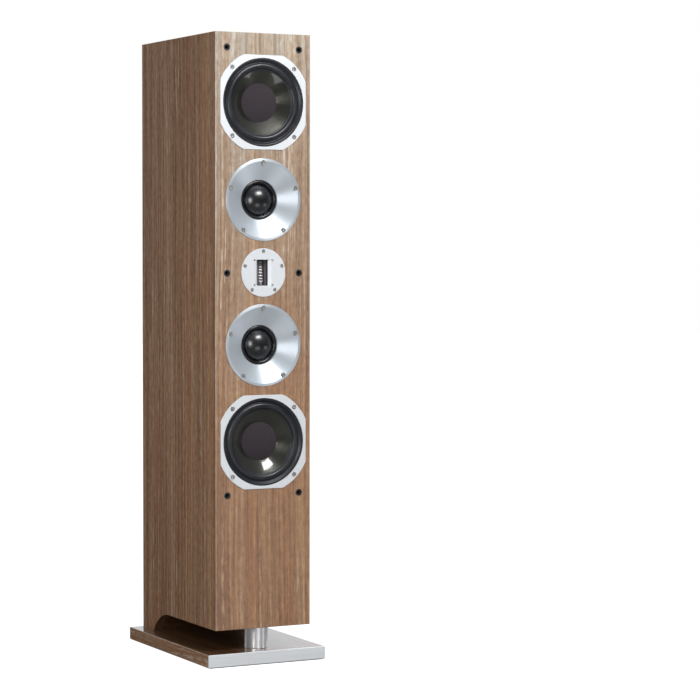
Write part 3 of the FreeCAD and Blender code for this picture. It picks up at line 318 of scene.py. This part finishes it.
def satin_metal(name, colour, roughness=0.4, grain=(400, 400, 400), metallic=1.0, spread=0.05):
    """Metal or metallic paint with a fine grain, stretched along one axis where it is brushed."""
    look = Look(name)
    place = look.object_coordinates()
    fine = look.noise(look.stretch(place, grain), detail=3.0, roughness=0.6)
    smudge = look.noise(place, 9.0, 2.0)
    shade = look.range(fine, 0.3, 0.7, 0.94, 1.04)
    colour = look.mix(1.0, colour, shade, "MULTIPLY")
    rough = look.math("ADD", look.range(fine, 0.3, 0.7, roughness - spread, roughness + spread),
                      look.range(smudge, 0.4, 0.6, -0.02, 0.02))
    return look.finish(
        base_color=colour,
        metallic=metallic,
        roughness=rough,
        normal=look.bump(fine, 0.00002, 0.15),
    )


def turned_column():
    """Polished on a lathe: faint rings round the Z axis, so reflections smear up and down."""
    look = Look("polished_column")
    _, _, z = split(look, look.object_coordinates())
    inputs = {"W": look.math("MULTIPLY", z, 3000), "Detail": 3.0}
    rings = look.node("ShaderNodeTexNoise", inputs=inputs, noise_dimensions="1D")
    tangent = look.node("ShaderNodeTangent", direction_type="RADIAL", axis="Z")
    return look.finish(
        base_color=look.ramp(rings, (0.3, (0.86, 0.87, 0.89)), (0.7, (0.92, 0.93, 0.95))),
        metallic=1.0,
        roughness=0.36,
        anisotropic=0.5,
        anisotropic_rotation=0.25,
        tangent=tangent,
        normal=look.bump(rings, 0.000003, 0.5),
    )


def rubber(name, colour=(0.020, 0.020, 0.022), roughness=0.42, relief=0.00004):
    look = Look(name)
    place = look.object_coordinates()
    grain = look.noise(place, 1800.0, 3.0)
    bloom = look.noise(place, 35.0, 3.0)
    dusty = tuple(c * 1.7 + 0.001 for c in colour)
    return look.finish(
        base_color=look.mix(look.range(bloom, 0.35, 0.75, 0.0, 0.7), colour, dusty),
        roughness=look.range(bloom, 0.3, 0.7, roughness - 0.05, roughness + 0.08),
        specular_ior_level=0.5,
        normal=look.bump(grain, relief, 0.25),
    )


def plastic(name, colour, roughness=0.38, grain=900.0, relief=0.00006):
    look = Look(name)
    place = look.object_coordinates()
    texture = look.noise(place, grain, 2.0)
    wear = look.noise(place, 14.0, 4.0)
    lighter = tuple(min(1.0, c * 1.35 + 0.006) for c in colour)
    return look.finish(
        base_color=look.mix(look.range(wear, 0.4, 0.7, 0.0, 0.6), colour, lighter),
        roughness=look.range(texture, 0.3, 0.7, roughness - 0.06, roughness + 0.06),
        normal=look.bump(texture, relief, 0.5),
    )


def weave(look, pitch):
    """A plain weave in the plane of the baffle: (height, which thread is on top)."""
    x, _, z = split(look, look.object_coordinates())
    across = look.math("MULTIPLY", x, WHOLE_TURN / pitch)
    up = look.math("MULTIPLY", z, WHOLE_TURN / pitch)
    warp = look.math("SINE", across)
    weft = look.math("SINE", up)
    over = look.math("MULTIPLY", look.math("SINE", look.math("MULTIPLY", across, 0.5)),
                     look.math("SINE", look.math("MULTIPLY", up, 0.5)))
    over = look.range(over, -0.25, 0.25)
    crowns = look.math("ADD", look.math("MULTIPLY", look.math("ABSOLUTE", warp), over),
                       look.math("MULTIPLY", look.math("ABSOLUTE", weft), look.math("SUBTRACT", 1.0, over)))
    return crowns, over


def woven_cone():
    """Dark olive fibre cloth under a clear glossy coat."""
    look = Look("woven_cone")
    height, over = weave(look, 0.0021)
    place = look.object_coordinates()
    blotch = look.noise(place, 60.0, 3.0)
    thread = look.mix(over, (0.006, 0.0065, 0.0045), (0.014, 0.013, 0.008))
    colour = look.mix(look.range(blotch, 0.35, 0.65, 0.0, 0.6), thread, (0.004, 0.0045, 0.004))
    return look.finish(
        base_color=colour,
        roughness=look.range(height, 0.0, 1.0, 0.36, 0.30),
        specular_ior_level=0.40,
        specular_tint=(1.0, 0.98, 0.88),
        anisotropic=0.8,
        anisotropic_rotation=0.25,
        tangent=look.node("ShaderNodeTangent", direction_type="RADIAL", axis="Y"),
        coat_weight=0.6,
        coat_ior=1.6,
        coat_roughness=0.08,
        normal=look.bump(height, 0.00010, 0.35),
    )


def felt():
    """The close charcoal cloth of a dust cap."""
    look = Look("dust_cap_felt")
    height, _ = weave(look, 0.0009)
    place = look.object_coordinates()
    fuzz = look.noise(place, 2600.0, 3.0)
    blotch = look.noise(place, 90.0, 3.0)
    colour = look.mix(look.range(fuzz, 0.3, 0.7), (0.023, 0.018, 0.0215), (0.046, 0.038, 0.044))
    colour = look.mix(look.range(blotch, 0.3, 0.7, 0.0, 0.25), colour, (0.020, 0.016, 0.020))
    return look.finish(
        base_color=colour,
        roughness=0.9,
        specular_ior_level=0.2,
        sheen_weight=0.08,
        sheen_roughness=0.5,
        sheen_tint=(0.62, 0.56, 0.66),
        normal=look.bump(look.math("ADD", height, fuzz), 0.00010, 0.5),
    )


def coated_dome():
    """Soft cloth under a thick glossy damping coat."""
    look = Look("dome_fabric")
    height, _ = weave(look, 0.0008)
    flow = look.noise(look.object_coordinates(), 70.0, 3.0)
    return look.finish(
        base_color=look.mix(look.range(flow, 0.35, 0.65), (0.002, 0.0022, 0.0035), (0.003, 0.0033, 0.005)),
        roughness=look.range(flow, 0.3, 0.7, 0.25, 0.29),
        specular_ior_level=0.7,
        normal=look.bump(look.math("ADD", look.math("MULTIPLY", height, 0.06), flow), 0.00012, 0.2),
    )


def pleated_foil():
    look = Look("ribbon_foil")
    crinkle = look.noise(look.stretch(look.object_coordinates(), (300, 300, 2400)), detail=3.0)
    return look.finish(
        base_color=look.ramp(crinkle, (0.3, (0.30, 0.27, 0.28)), (0.7, (0.42, 0.38, 0.39))),
        metallic=1.0,
        roughness=look.range(crinkle, 0.3, 0.7, 0.34, 0.42),
        normal=look.bump(crinkle, 0.00003, 0.5),
    )


def wool():
    look = Look("wool")
    fibres = look.noise(look.object_coordinates(), 700.0, 5.0, 0.7, 2.0)
    tufts = look.noise(look.object_coordinates(), 60.0, 3.0)
    colour = look.mix(look.range(fibres, 0.3, 0.7), (0.50, 0.48, 0.42), (0.74, 0.72, 0.66))
    height = look.math("ADD", fibres, look.math("MULTIPLY", tufts, 3.0))
    return look.finish(
        base_color=colour,
        roughness=0.95,
        sheen_weight=0.5,
        normal=look.bump(height, 0.0008, 0.8),
    )


def fibreboard():
    look = Look("raw_board")
    flecks = look.noise(look.object_coordinates(), 900.0, 4.0, 0.7)
    return look.finish(
        base_color=look.ramp(flecks, (0.3, (0.34, 0.23, 0.13)), (0.7, (0.52, 0.38, 0.24))),
        roughness=0.85,
        normal=look.bump(flecks, 0.0001, 0.4),
    )


def wound_copper():
    """Enamelled wire laid turn on turn round the Y axis."""
    look = Look("copper_winding")
    _, y, _ = split(look, look.object_coordinates())
    turns = look.math("SINE", look.math("MULTIPLY", y, WHOLE_TURN / 0.0011))
    shade = look.noise(look.object_coordinates(), 120.0, 2.0)
    return look.finish(
        base_color=look.ramp(shade, (0.3, (0.45, 0.17, 0.06)), (0.7, (0.70, 0.31, 0.13))),
        metallic=0.85,
        roughness=0.32,
        coat_weight=0.5,
        normal=look.bump(turns, 0.00025, 0.8),
    )


def dipped_cloth():
    look = Look("spider_cloth")
    height, over = weave(look, 0.0012)
    return look.finish(
        base_color=look.mix(over, (0.36, 0.21, 0.06), (0.50, 0.32, 0.11)),
        roughness=0.6,
        normal=look.bump(height, 0.0002, 0.6),
    )


def solder_resist():
    look = Look("circuit_board")
    place = look.object_coordinates()
    tracks = look.noise(place, 45.0, 0.0)
    return look.finish(
        base_color=look.mix(look.range(tracks, 0.48, 0.52), (0.010, 0.085, 0.030), (0.016, 0.13, 0.048)),
        roughness=0.35,
        coat_weight=0.4,
        normal=look.bump(tracks, 0.00005, 0.5),
    )


def floor_white():
    """A grey floor that the camera sees glowing white like the backdrop, but not in the plinth's shade."""
    look = Look("floor_white")
    soft = look.noise(look.object_coordinates(), 3.0, 3.0)
    seen = look.tree.nodes.new("ShaderNodeLightPath").outputs["Is Camera Ray"]
    beside, before = (
        look.range(look.math("ABSOLUTE", value), reach - 0.004, reach)
        for value, reach in zip(split(look, look.object_coordinates()), UNDER_PLINTH)
    )
    seen = look.math("MULTIPLY", seen, look.math("MAXIMUM", beside, before))
    return look.finish(
        base_color=look.mix(soft, (0.24, 0.24, 0.24), (0.26, 0.26, 0.26)),
        roughness=0.8,
        specular_ior_level=0.1,
        emission_color=(1.0, 1.0, 1.0),
        emission_strength=seen,
    )


# ================================================================ mesh tools
def arc(start, middle, end, count=12):
    """Points along the circle through three points, without the first."""
    (ax, ay), (bx, by), (cx, cy) = start, middle, end
    d = 2 * (ax * (by - cy) + bx * (cy - ay) + cx * (ay - by))
    sa, sb, sc = ax * ax + ay * ay, bx * bx + by * by, cx * cx + cy * cy
    ux = (sa * (by - cy) + sb * (cy - ay) + sc * (ay - by)) / d
    uy = (sa * (cx - bx) + sb * (ax - cx) + sc * (bx - ax)) / d
    radius = math.hypot(ax - ux, ay - uy)
    first, mid, last = (math.atan2(p[1] - uy, p[0] - ux) for p in (start, middle, end))
    sweep = (last - first) % WHOLE_TURN
    if (mid - first) % WHOLE_TURN > sweep:
        sweep -= WHOLE_TURN
    angles = [first + sweep * i / count for i in range(1, count + 1)]
    return [(ux + radius * math.cos(a), uy + radius * math.sin(a)) for a in angles]


def path(start, *steps, count=12):
    """A profile from a start through steps, each a point, or (middle, end) for an arc."""
    points = [start]
    for step in steps:
        if isinstance(step[0], tuple):
            points += arc(points[-1], step[0], step[1], count)
        else:
            points.append(step)
    return points


def straight(points, longest):
    """The same profile with long straight runs divided."""
    found = [points[0]]
    for a, b in zip(points, points[1:]):
        parts = max(1, math.ceil(math.dist(a, b) / longest))
        found += [
            (a[0] + (b[0] - a[0]) * i / parts, a[1] + (b[1] - a[1]) * i / parts) for i in range(1, parts + 1)
        ]
    return found


def lathe(name, profile, height, material, segments=192, sharp=32.0):
    """A closed profile of (radius, depth) points, turned about the driver's axis at this height."""
    mesh = bmesh.new()
    angles = [WHOLE_TURN * i / segments for i in range(segments)]
    rings = []
    for radius, depth in profile:
        if radius < 1e-6:
            rings.append([mesh.verts.new((0, depth * MM, 0))] * segments)
            continue
        points = [(radius * MM * math.cos(a), depth * MM, radius * MM * math.sin(a)) for a in angles]
        rings.append([mesh.verts.new(point) for point in points])
    for near, far in zip(rings, rings[1:] + rings[:1]):
        for i in range(segments):
            j = (i + 1) % segments
            corners = []
            for corner in (near[i], near[j], far[j], far[i]):
                if corner not in corners:
                    corners.append(corner)
            if len(corners) > 2:
                mesh.faces.new(corners)
    bmesh.ops.recalc_face_normals(mesh, faces=mesh.faces)
    return finish_mesh(name, mesh, (0, FRONT, height), material, sharp)


def smooth(mesh, sharp):
    """Smooths a bmesh's faces and keeps the edges that turn by more than sharp degrees."""
    limit = math.radians(sharp)
    for face in mesh.faces:
        face.smooth = True
    for edge in mesh.edges:
        edge.smooth = len(edge.link_faces) != 2 or edge.calc_face_angle(0.0) < limit


def finish_mesh(name, mesh, place, material, sharp=32.0):
    """Turns a bmesh into an object with smooth faces and its true edges kept sharp."""
    smooth(mesh, sharp)
    data = bpy.data.meshes.new(name)
    mesh.to_mesh(data)
    mesh.free()
    piece = bpy.data.objects.new(name, data)
    bpy.context.collection.objects.link(piece)
    piece.location = place
    data.materials.append(material)
    bpy.context.view_layer.update()
    return piece


def stand_for(piece, body, slot, *nodes):
    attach(piece, body)
    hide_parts(*nodes)


def bend_with_cone(piece, node):
    """Bakes a ring's place into its mesh and hides the CAD node that it replaces."""
    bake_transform(piece)
    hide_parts(node)


# ================================================================ driver pieces
def axis_height(node):
    low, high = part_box(node)
    return (low.z + high.z) / 2


def bass_surround(place, materials):
    height = axis_height(place + "_bass_frame")
    outer_rim = (
        (90.0, 0.7), ((89.6, -0.3), (88.8, -0.7)), (86.6, -0.7), ((85.7, -0.4), (84.8, 0.4)), (82.0, 2.6),
    )
    roll = (
        ((80.9, 3.3), (80.0, 3.0)), ((77.9, 0.7), (73.9, -0.5)), ((69.6, 0.9), (67.6, 3.2)),
        ((66.6, 4.0), (65.2, 4.3)), (64.6, 4.7),
    )
    back = (
        (64.6, 5.6), (68.2, 4.9), ((70.4, 2.3), (73.9, 1.0)), ((77.0, 2.0), (79.0, 4.4)), (81.0, 4.6),
        (81.0, 3.8),
    )
    profile = straight(path((90.0, 3.8), *outer_rim, *roll, *back), 1.2)
    piece = lathe(place + "_surround", profile, height, materials["moulded_rubber"], 240)
    body, node = place + "_bass_diaphragm", place + "_bass_surround"
    bend_with_cone(piece, node)


def bass_cone(place, materials):
    height = axis_height(place + "_bass_frame")
    edge, middle, neck, thickness = (68.0, 4.0), (41.0, 19.25), (16.6, 38.5), 0.9
    front = path(edge, (middle, neck), count=60)
    back = [(r, depth + thickness) for r, depth in reversed(front)]
    piece = lathe(place + "_cone", front + back, height, materials["woven_cone"], 240)
    stand_for(piece, place + "_bass_diaphragm", "woven_cone", place + "_bass_cone")


def dust_cap(place, materials):
    height = axis_height(place + "_bass_frame")
    rim, rise, base = 39.3, 8.3, 20.1
    front = path((0.0, base - rise), ((rim / 2, base - rise * 0.755), (rim, base)), count=40)
    lip = path((rim, base), ((rim + 0.7, base + 0.5), (rim + 0.6, base + 1.4)), count=5)[1:]
    back = [(rim - 0.6, base + 1.6)] + [(r, d + 0.8) for r, d in reversed(front[:-1])]
    piece = lathe(place + "_dust_cap", front + lip + back, height, materials["dust_cap_felt"], 192)
    stand_for(piece, place + "_bass_diaphragm", "dust_cap_felt", place + "_bass_dust_cap")


def bass_spider(place, materials):
    """The corrugated cloth disc."""
    height = axis_height(place + "_bass_frame")
    near, cloth, inner, outer, waves, wave_height = 40.4, 0.6, 19.6, 42.0, 5, 1.2
    steps = 16 * waves
    radii = [outer + (inner - outer) * i / steps for i in range(steps + 1)]
    waved = [
        (r, near - wave_height * math.sin(math.pi * waves * (r - inner) / (outer - inner))) for r in radii
    ]
    front = [(52.0, near)] + waved + [(16.7, near)]
    back = [(r, depth + cloth) for r, depth in reversed(front)]
    piece = lathe(place + "_spider", front + back, height, materials["spider_cloth"], 160)
    body, node = place + "_bass_diaphragm", place + "_bass_spider"
    bend_with_cone(piece, node)


def mid_faceplate(place, materials):
    node = place + "_mid_faceplate"
    height = axis_height(node)
    sharp, screw_circle, pocket_radius, pocket_depth = 20.0, 76.0, 4.8, 2.0
    profile = path(
        (78.2, -1.6), (78.7, -1.65), (83.2, -1.1), ((83.8, -0.9), (84.0, -0.4)), (84.0, 5.0), (70.0, 5.0),
        (70.0, 8.0), (47.0, 24.0), (40.5, 24.0), (40.5, 20.2), ((40.8, 19.2), (41.8, 18.5)), count=6,
    )
    horn = straight([profile[-1], profile[0]], 1.5)[1:-1]
    piece = lathe(place + "_horn", profile + horn, height, materials["spun_aluminium"], 256, sharp)
    places = [(screw_circle * math.cos(a), screw_circle * math.sin(a)) for a in turn_angles(5)]
    cut_pockets(piece, places, pocket_radius, pocket_depth, sharp)
    stand_for(piece, "root", "spun_aluminium", node)


def turn_angles(count, first=math.pi / 2):
    return [first + WHOLE_TURN * i / count for i in range(count)]


def cut_pockets(piece, places, radius, depth, sharp):
    """Sinks round screw pockets into the front of a piece, by an exact boolean that is then applied."""
    length = 20.0
    mesh = bmesh.new()
    for x, z in places:
        moved = Matrix.Translation((x * MM, (depth - length / 2) * MM, z * MM))
        bmesh.ops.create_cone(
            mesh, cap_ends=True, segments=40, radius1=radius * MM, radius2=radius * MM, depth=length * MM,
            matrix=moved @ Matrix.Rotation(math.pi / 2, 4, "X"),
        )
    bmesh.ops.recalc_face_normals(mesh, faces=mesh.faces)
    data = bpy.data.meshes.new("cutter")
    mesh.to_mesh(data)
    mesh.free()
    cutter = bpy.data.objects.new("cutter", data)
    bpy.context.collection.objects.link(cutter)
    cutter.location = piece.location
    modifier = piece.modifiers.new("pockets", "BOOLEAN")
    modifier.object = cutter
    modifier.operation = "DIFFERENCE"
    modifier.solver = "EXACT"
    bpy.context.view_layer.update()
    evaluated = piece.evaluated_get(bpy.context.evaluated_depsgraph_get())
    result = bpy.data.meshes.new_from_object(evaluated)
    piece.modifiers.clear()
    piece.data = result
    bpy.data.objects.remove(cutter)
    made = bmesh.new()
    made.from_mesh(result)
    smooth(made, sharp)
    made.to_mesh(result)
    made.free()


def mid_dome(place, materials):
    height = axis_height(place + "_mid_faceplate")
    radius, foot, apex = 32.5, 25.0, 7.5
    rise = foot - apex
    sphere = (radius**2 + rise**2) / (2 * rise)
    widest = math.asin(radius / sphere)
    steps = 48
    inner = sphere - 0.8
    limit = math.acos((sphere - rise) / inner)

    def bow(size, angle):
        return (size * math.sin(angle), apex + sphere - size * math.cos(angle))

    front = [bow(sphere, widest * i / steps) for i in range(steps + 1)]
    back = [bow(inner, limit * i / steps) for i in range(steps, -1, -1)]
    piece = lathe(place + "_dome", front + back, height, materials["dome_fabric"], 160)
    stand_for(piece, place + "_mid_diaphragm", "dome_fabric", place + "_mid_dome")


def mid_surround(place, materials):
    height = axis_height(place + "_mid_faceplate")
    top = 24.0
    profile = path(
        (32.5, top + 0.4), ((32.7, top - 0.1), (33.2, top - 0.3)), ((36.6, top - 3.3), (40.2, top)),
        (46.0, top), (46.0, top + 0.8), (39.6, top + 0.8), (39.6, top + 0.3),
        ((36.6, top - 2.7), (33.6, top + 0.3)), (33.6, top + 1.2), (32.5, top + 1.2),
    )
    piece = lathe(place + "_dome_roll", profile, height, materials["dome_roll"], 160)
    body, node = place + "_mid_diaphragm", place + "_mid_surround"
    bend_with_cone(piece, node)


# ================================================================ the whole
def assign(materials):
    """Gives every CAD node that is still shown the material of its slot, or its own."""
    own = {
        "front_baffle": "veneer_front",
        "plinth_board": "veneer_y_plinth",
        "top_panel": "veneer_y",
        "rear_leg": "veneer_x",
        # The cabinet's underside gets a much darker leaf: painted shade.
        "bottom_panel": "veneer_shaded",
    }
    by_slot = {s["node"]: s["material_slot"] for s in frame["record"]["subparts"]}
    for name, node in frame["nodes"].items():
        node.data.materials.clear()
        node.data.materials.append(materials[own.get(name, by_slot[name])])


def make_materials():
    return {
        # Faces of this veneer that look into the gap under the cabinet get painted shade.
        "walnut_veneer": veneer("veneer_z", "Z", (3.1, 7.7, 1.3), shade_facing=(INTO_THE_GAP, 0.9)),
        # The front's leaf has a painted sheen towards its top.
        "veneer_front": veneer("veneer_front", "Z", (3.1, 7.7, 1.3), sheen_heights=(0.45, 1.36)),
        # The rear leg's faces that look into the gap under the cabinet get painted shade.
        "veneer_x": veneer("veneer_x", "X", (1.7, 4.1, 9.2), 0.8, 0.5, 0.5, 0.1, shade_facing=(INTO_THE_GAP, 0.9)),
        # Painted shade: the underside's leaf is darkened to 0.22 of its tone.
        "veneer_shaded": veneer("veneer_shaded", "Y", (2.2, 6.3, 0.7), 0.22, 0.5, 0.4, 0.0),
        "veneer_y": veneer("veneer_y", "Y", (5.3, 2.9, 6.1)),
        # The plinth's top faces get painted shade.
        "veneer_y_plinth": veneer("veneer_y_plinth", "Y", (8.2, 0.4, 2.2), 1.0, 0.36, 0.6, 1.0, 0.08,
                                  shade_facing=(UPWARDS, 0.8)),
        "raw_board": fibreboard(),
        "wool": wool(),
        "black_rubber": rubber("black_rubber"),
        "moulded_rubber": rubber("moulded_rubber", (0.008, 0.009, 0.012), 0.36, 0.0),
        "dome_roll": rubber("dome_roll", (0.005, 0.005, 0.0065), 0.24, 0.0),
        "black_plastic": plastic("black_plastic", (0.012, 0.012, 0.0135), 0.45),
        "satin_trim": satin_metal("satin_trim", (0.81, 0.83, 0.85), 0.38, (8, 900, 900), 0.35),
        "polished_column": turned_column(),
        "zinc_steel": satin_metal("zinc_steel", (0.60, 0.60, 0.58), 0.35),
        "screw_steel": satin_metal("screw_steel", (0.62, 0.59, 0.56), 0.34),
        "ferrite": plastic("ferrite", (0.045, 0.045, 0.050), 0.6, 1500.0, 0.0001),
        "spun_aluminium": spun_aluminium(),
        "flange_aluminium": satin_metal("flange_aluminium", (0.73, 0.757, 0.782), 0.42, (700, 700, 700), 0.3),
        "gold_brass": satin_metal("gold_brass", (0.90, 0.66, 0.28), 0.2),
        "circuit_board": solder_resist(),
        "copper_winding": wound_copper(),
        "capacitor_film": plastic("capacitor_film", (0.55, 0.42, 0.10), 0.25),
        "lead_sleeve": rubber("lead_sleeve", (0.05, 0.05, 0.055), 0.4),
        "ribbon_foil": pleated_foil(),
        "woven_cone": woven_cone(),
        "dust_cap_felt": felt(),
        "coil_former": satin_metal("coil_former", (0.62, 0.40, 0.28), 0.35, (200, 3000, 200)),
        "spider_cloth": dipped_cloth(),
        "dome_fabric": coated_dome(),
    }


def add_light(name, place, target, size, power):
    data = bpy.data.lights.new(name, "AREA")
    data.shape = "RECTANGLE"
    data.size, data.size_y = size
    data.energy = power
    light = bpy.data.objects.new(name, data)
    bpy.context.collection.objects.link(light)
    light.location = place
    light.rotation_euler = (Vector(target) - Vector(place)).to_track_quat("-Z", "Y").to_euler()


def light_scene():
    studio = Look("studio", bpy.data.worlds)
    direction = studio.coordinates.outputs["Generated"]
    inputs = {0: direction, 1: BACKDROP_DIRECTION}
    facing = studio.node("ShaderNodeVectorMath", 1, inputs, operation="DOT_PRODUCT")
    ahead = studio.range(facing, *BACKDROP_EDGE)
    room = studio.range(split(studio, direction)[2], *ROOM_HEIGHTS, *ROOM_LIGHT)
    gain = studio.math("MULTIPLY", ahead, studio.math("SUBTRACT", BACKDROP_LIGHT, room))
    strength = studio.math("ADD", room, gain)
    lit = studio.node("ShaderNodeBackground", inputs={"Color": ROOM_COLOUR, "Strength": strength})
    white = studio.node("ShaderNodeBackground", inputs={"Color": (1.0, 1.0, 1.0)})
    seen = studio.tree.nodes.new("ShaderNodeLightPath").outputs["Is Camera Ray"]
    shown = studio.node("ShaderNodeMixShader", inputs={0: seen, 1: lit, 2: white})
    output = studio.tree.nodes.new("ShaderNodeOutputWorld")
    studio.tree.links.new(shown, output.inputs[0])
    bpy.context.scene.world = studio.material
    bpy.context.scene.view_settings.view_transform = "Standard"
    for name, setting in LIGHTS.items():
        add_light(name, *setting)
    bpy.ops.mesh.primitive_plane_add(size=FLOOR_SIZE, location=(0, 0, 0))
    floor = bpy.context.object
    floor.name = "floor"
    floor.data.materials.append(floor_white())


def main():
    add_camera()
    materials = make_materials()
    assign(materials)
    for place in ("upper", "lower"):
        bass_surround(place, materials)
        bass_cone(place, materials)
        dust_cap(place, materials)
        bass_spider(place, materials)
        mid_faceplate(place, materials)
        mid_dome(place, materials)
        mid_surround(place, materials)
    light_scene()


main()
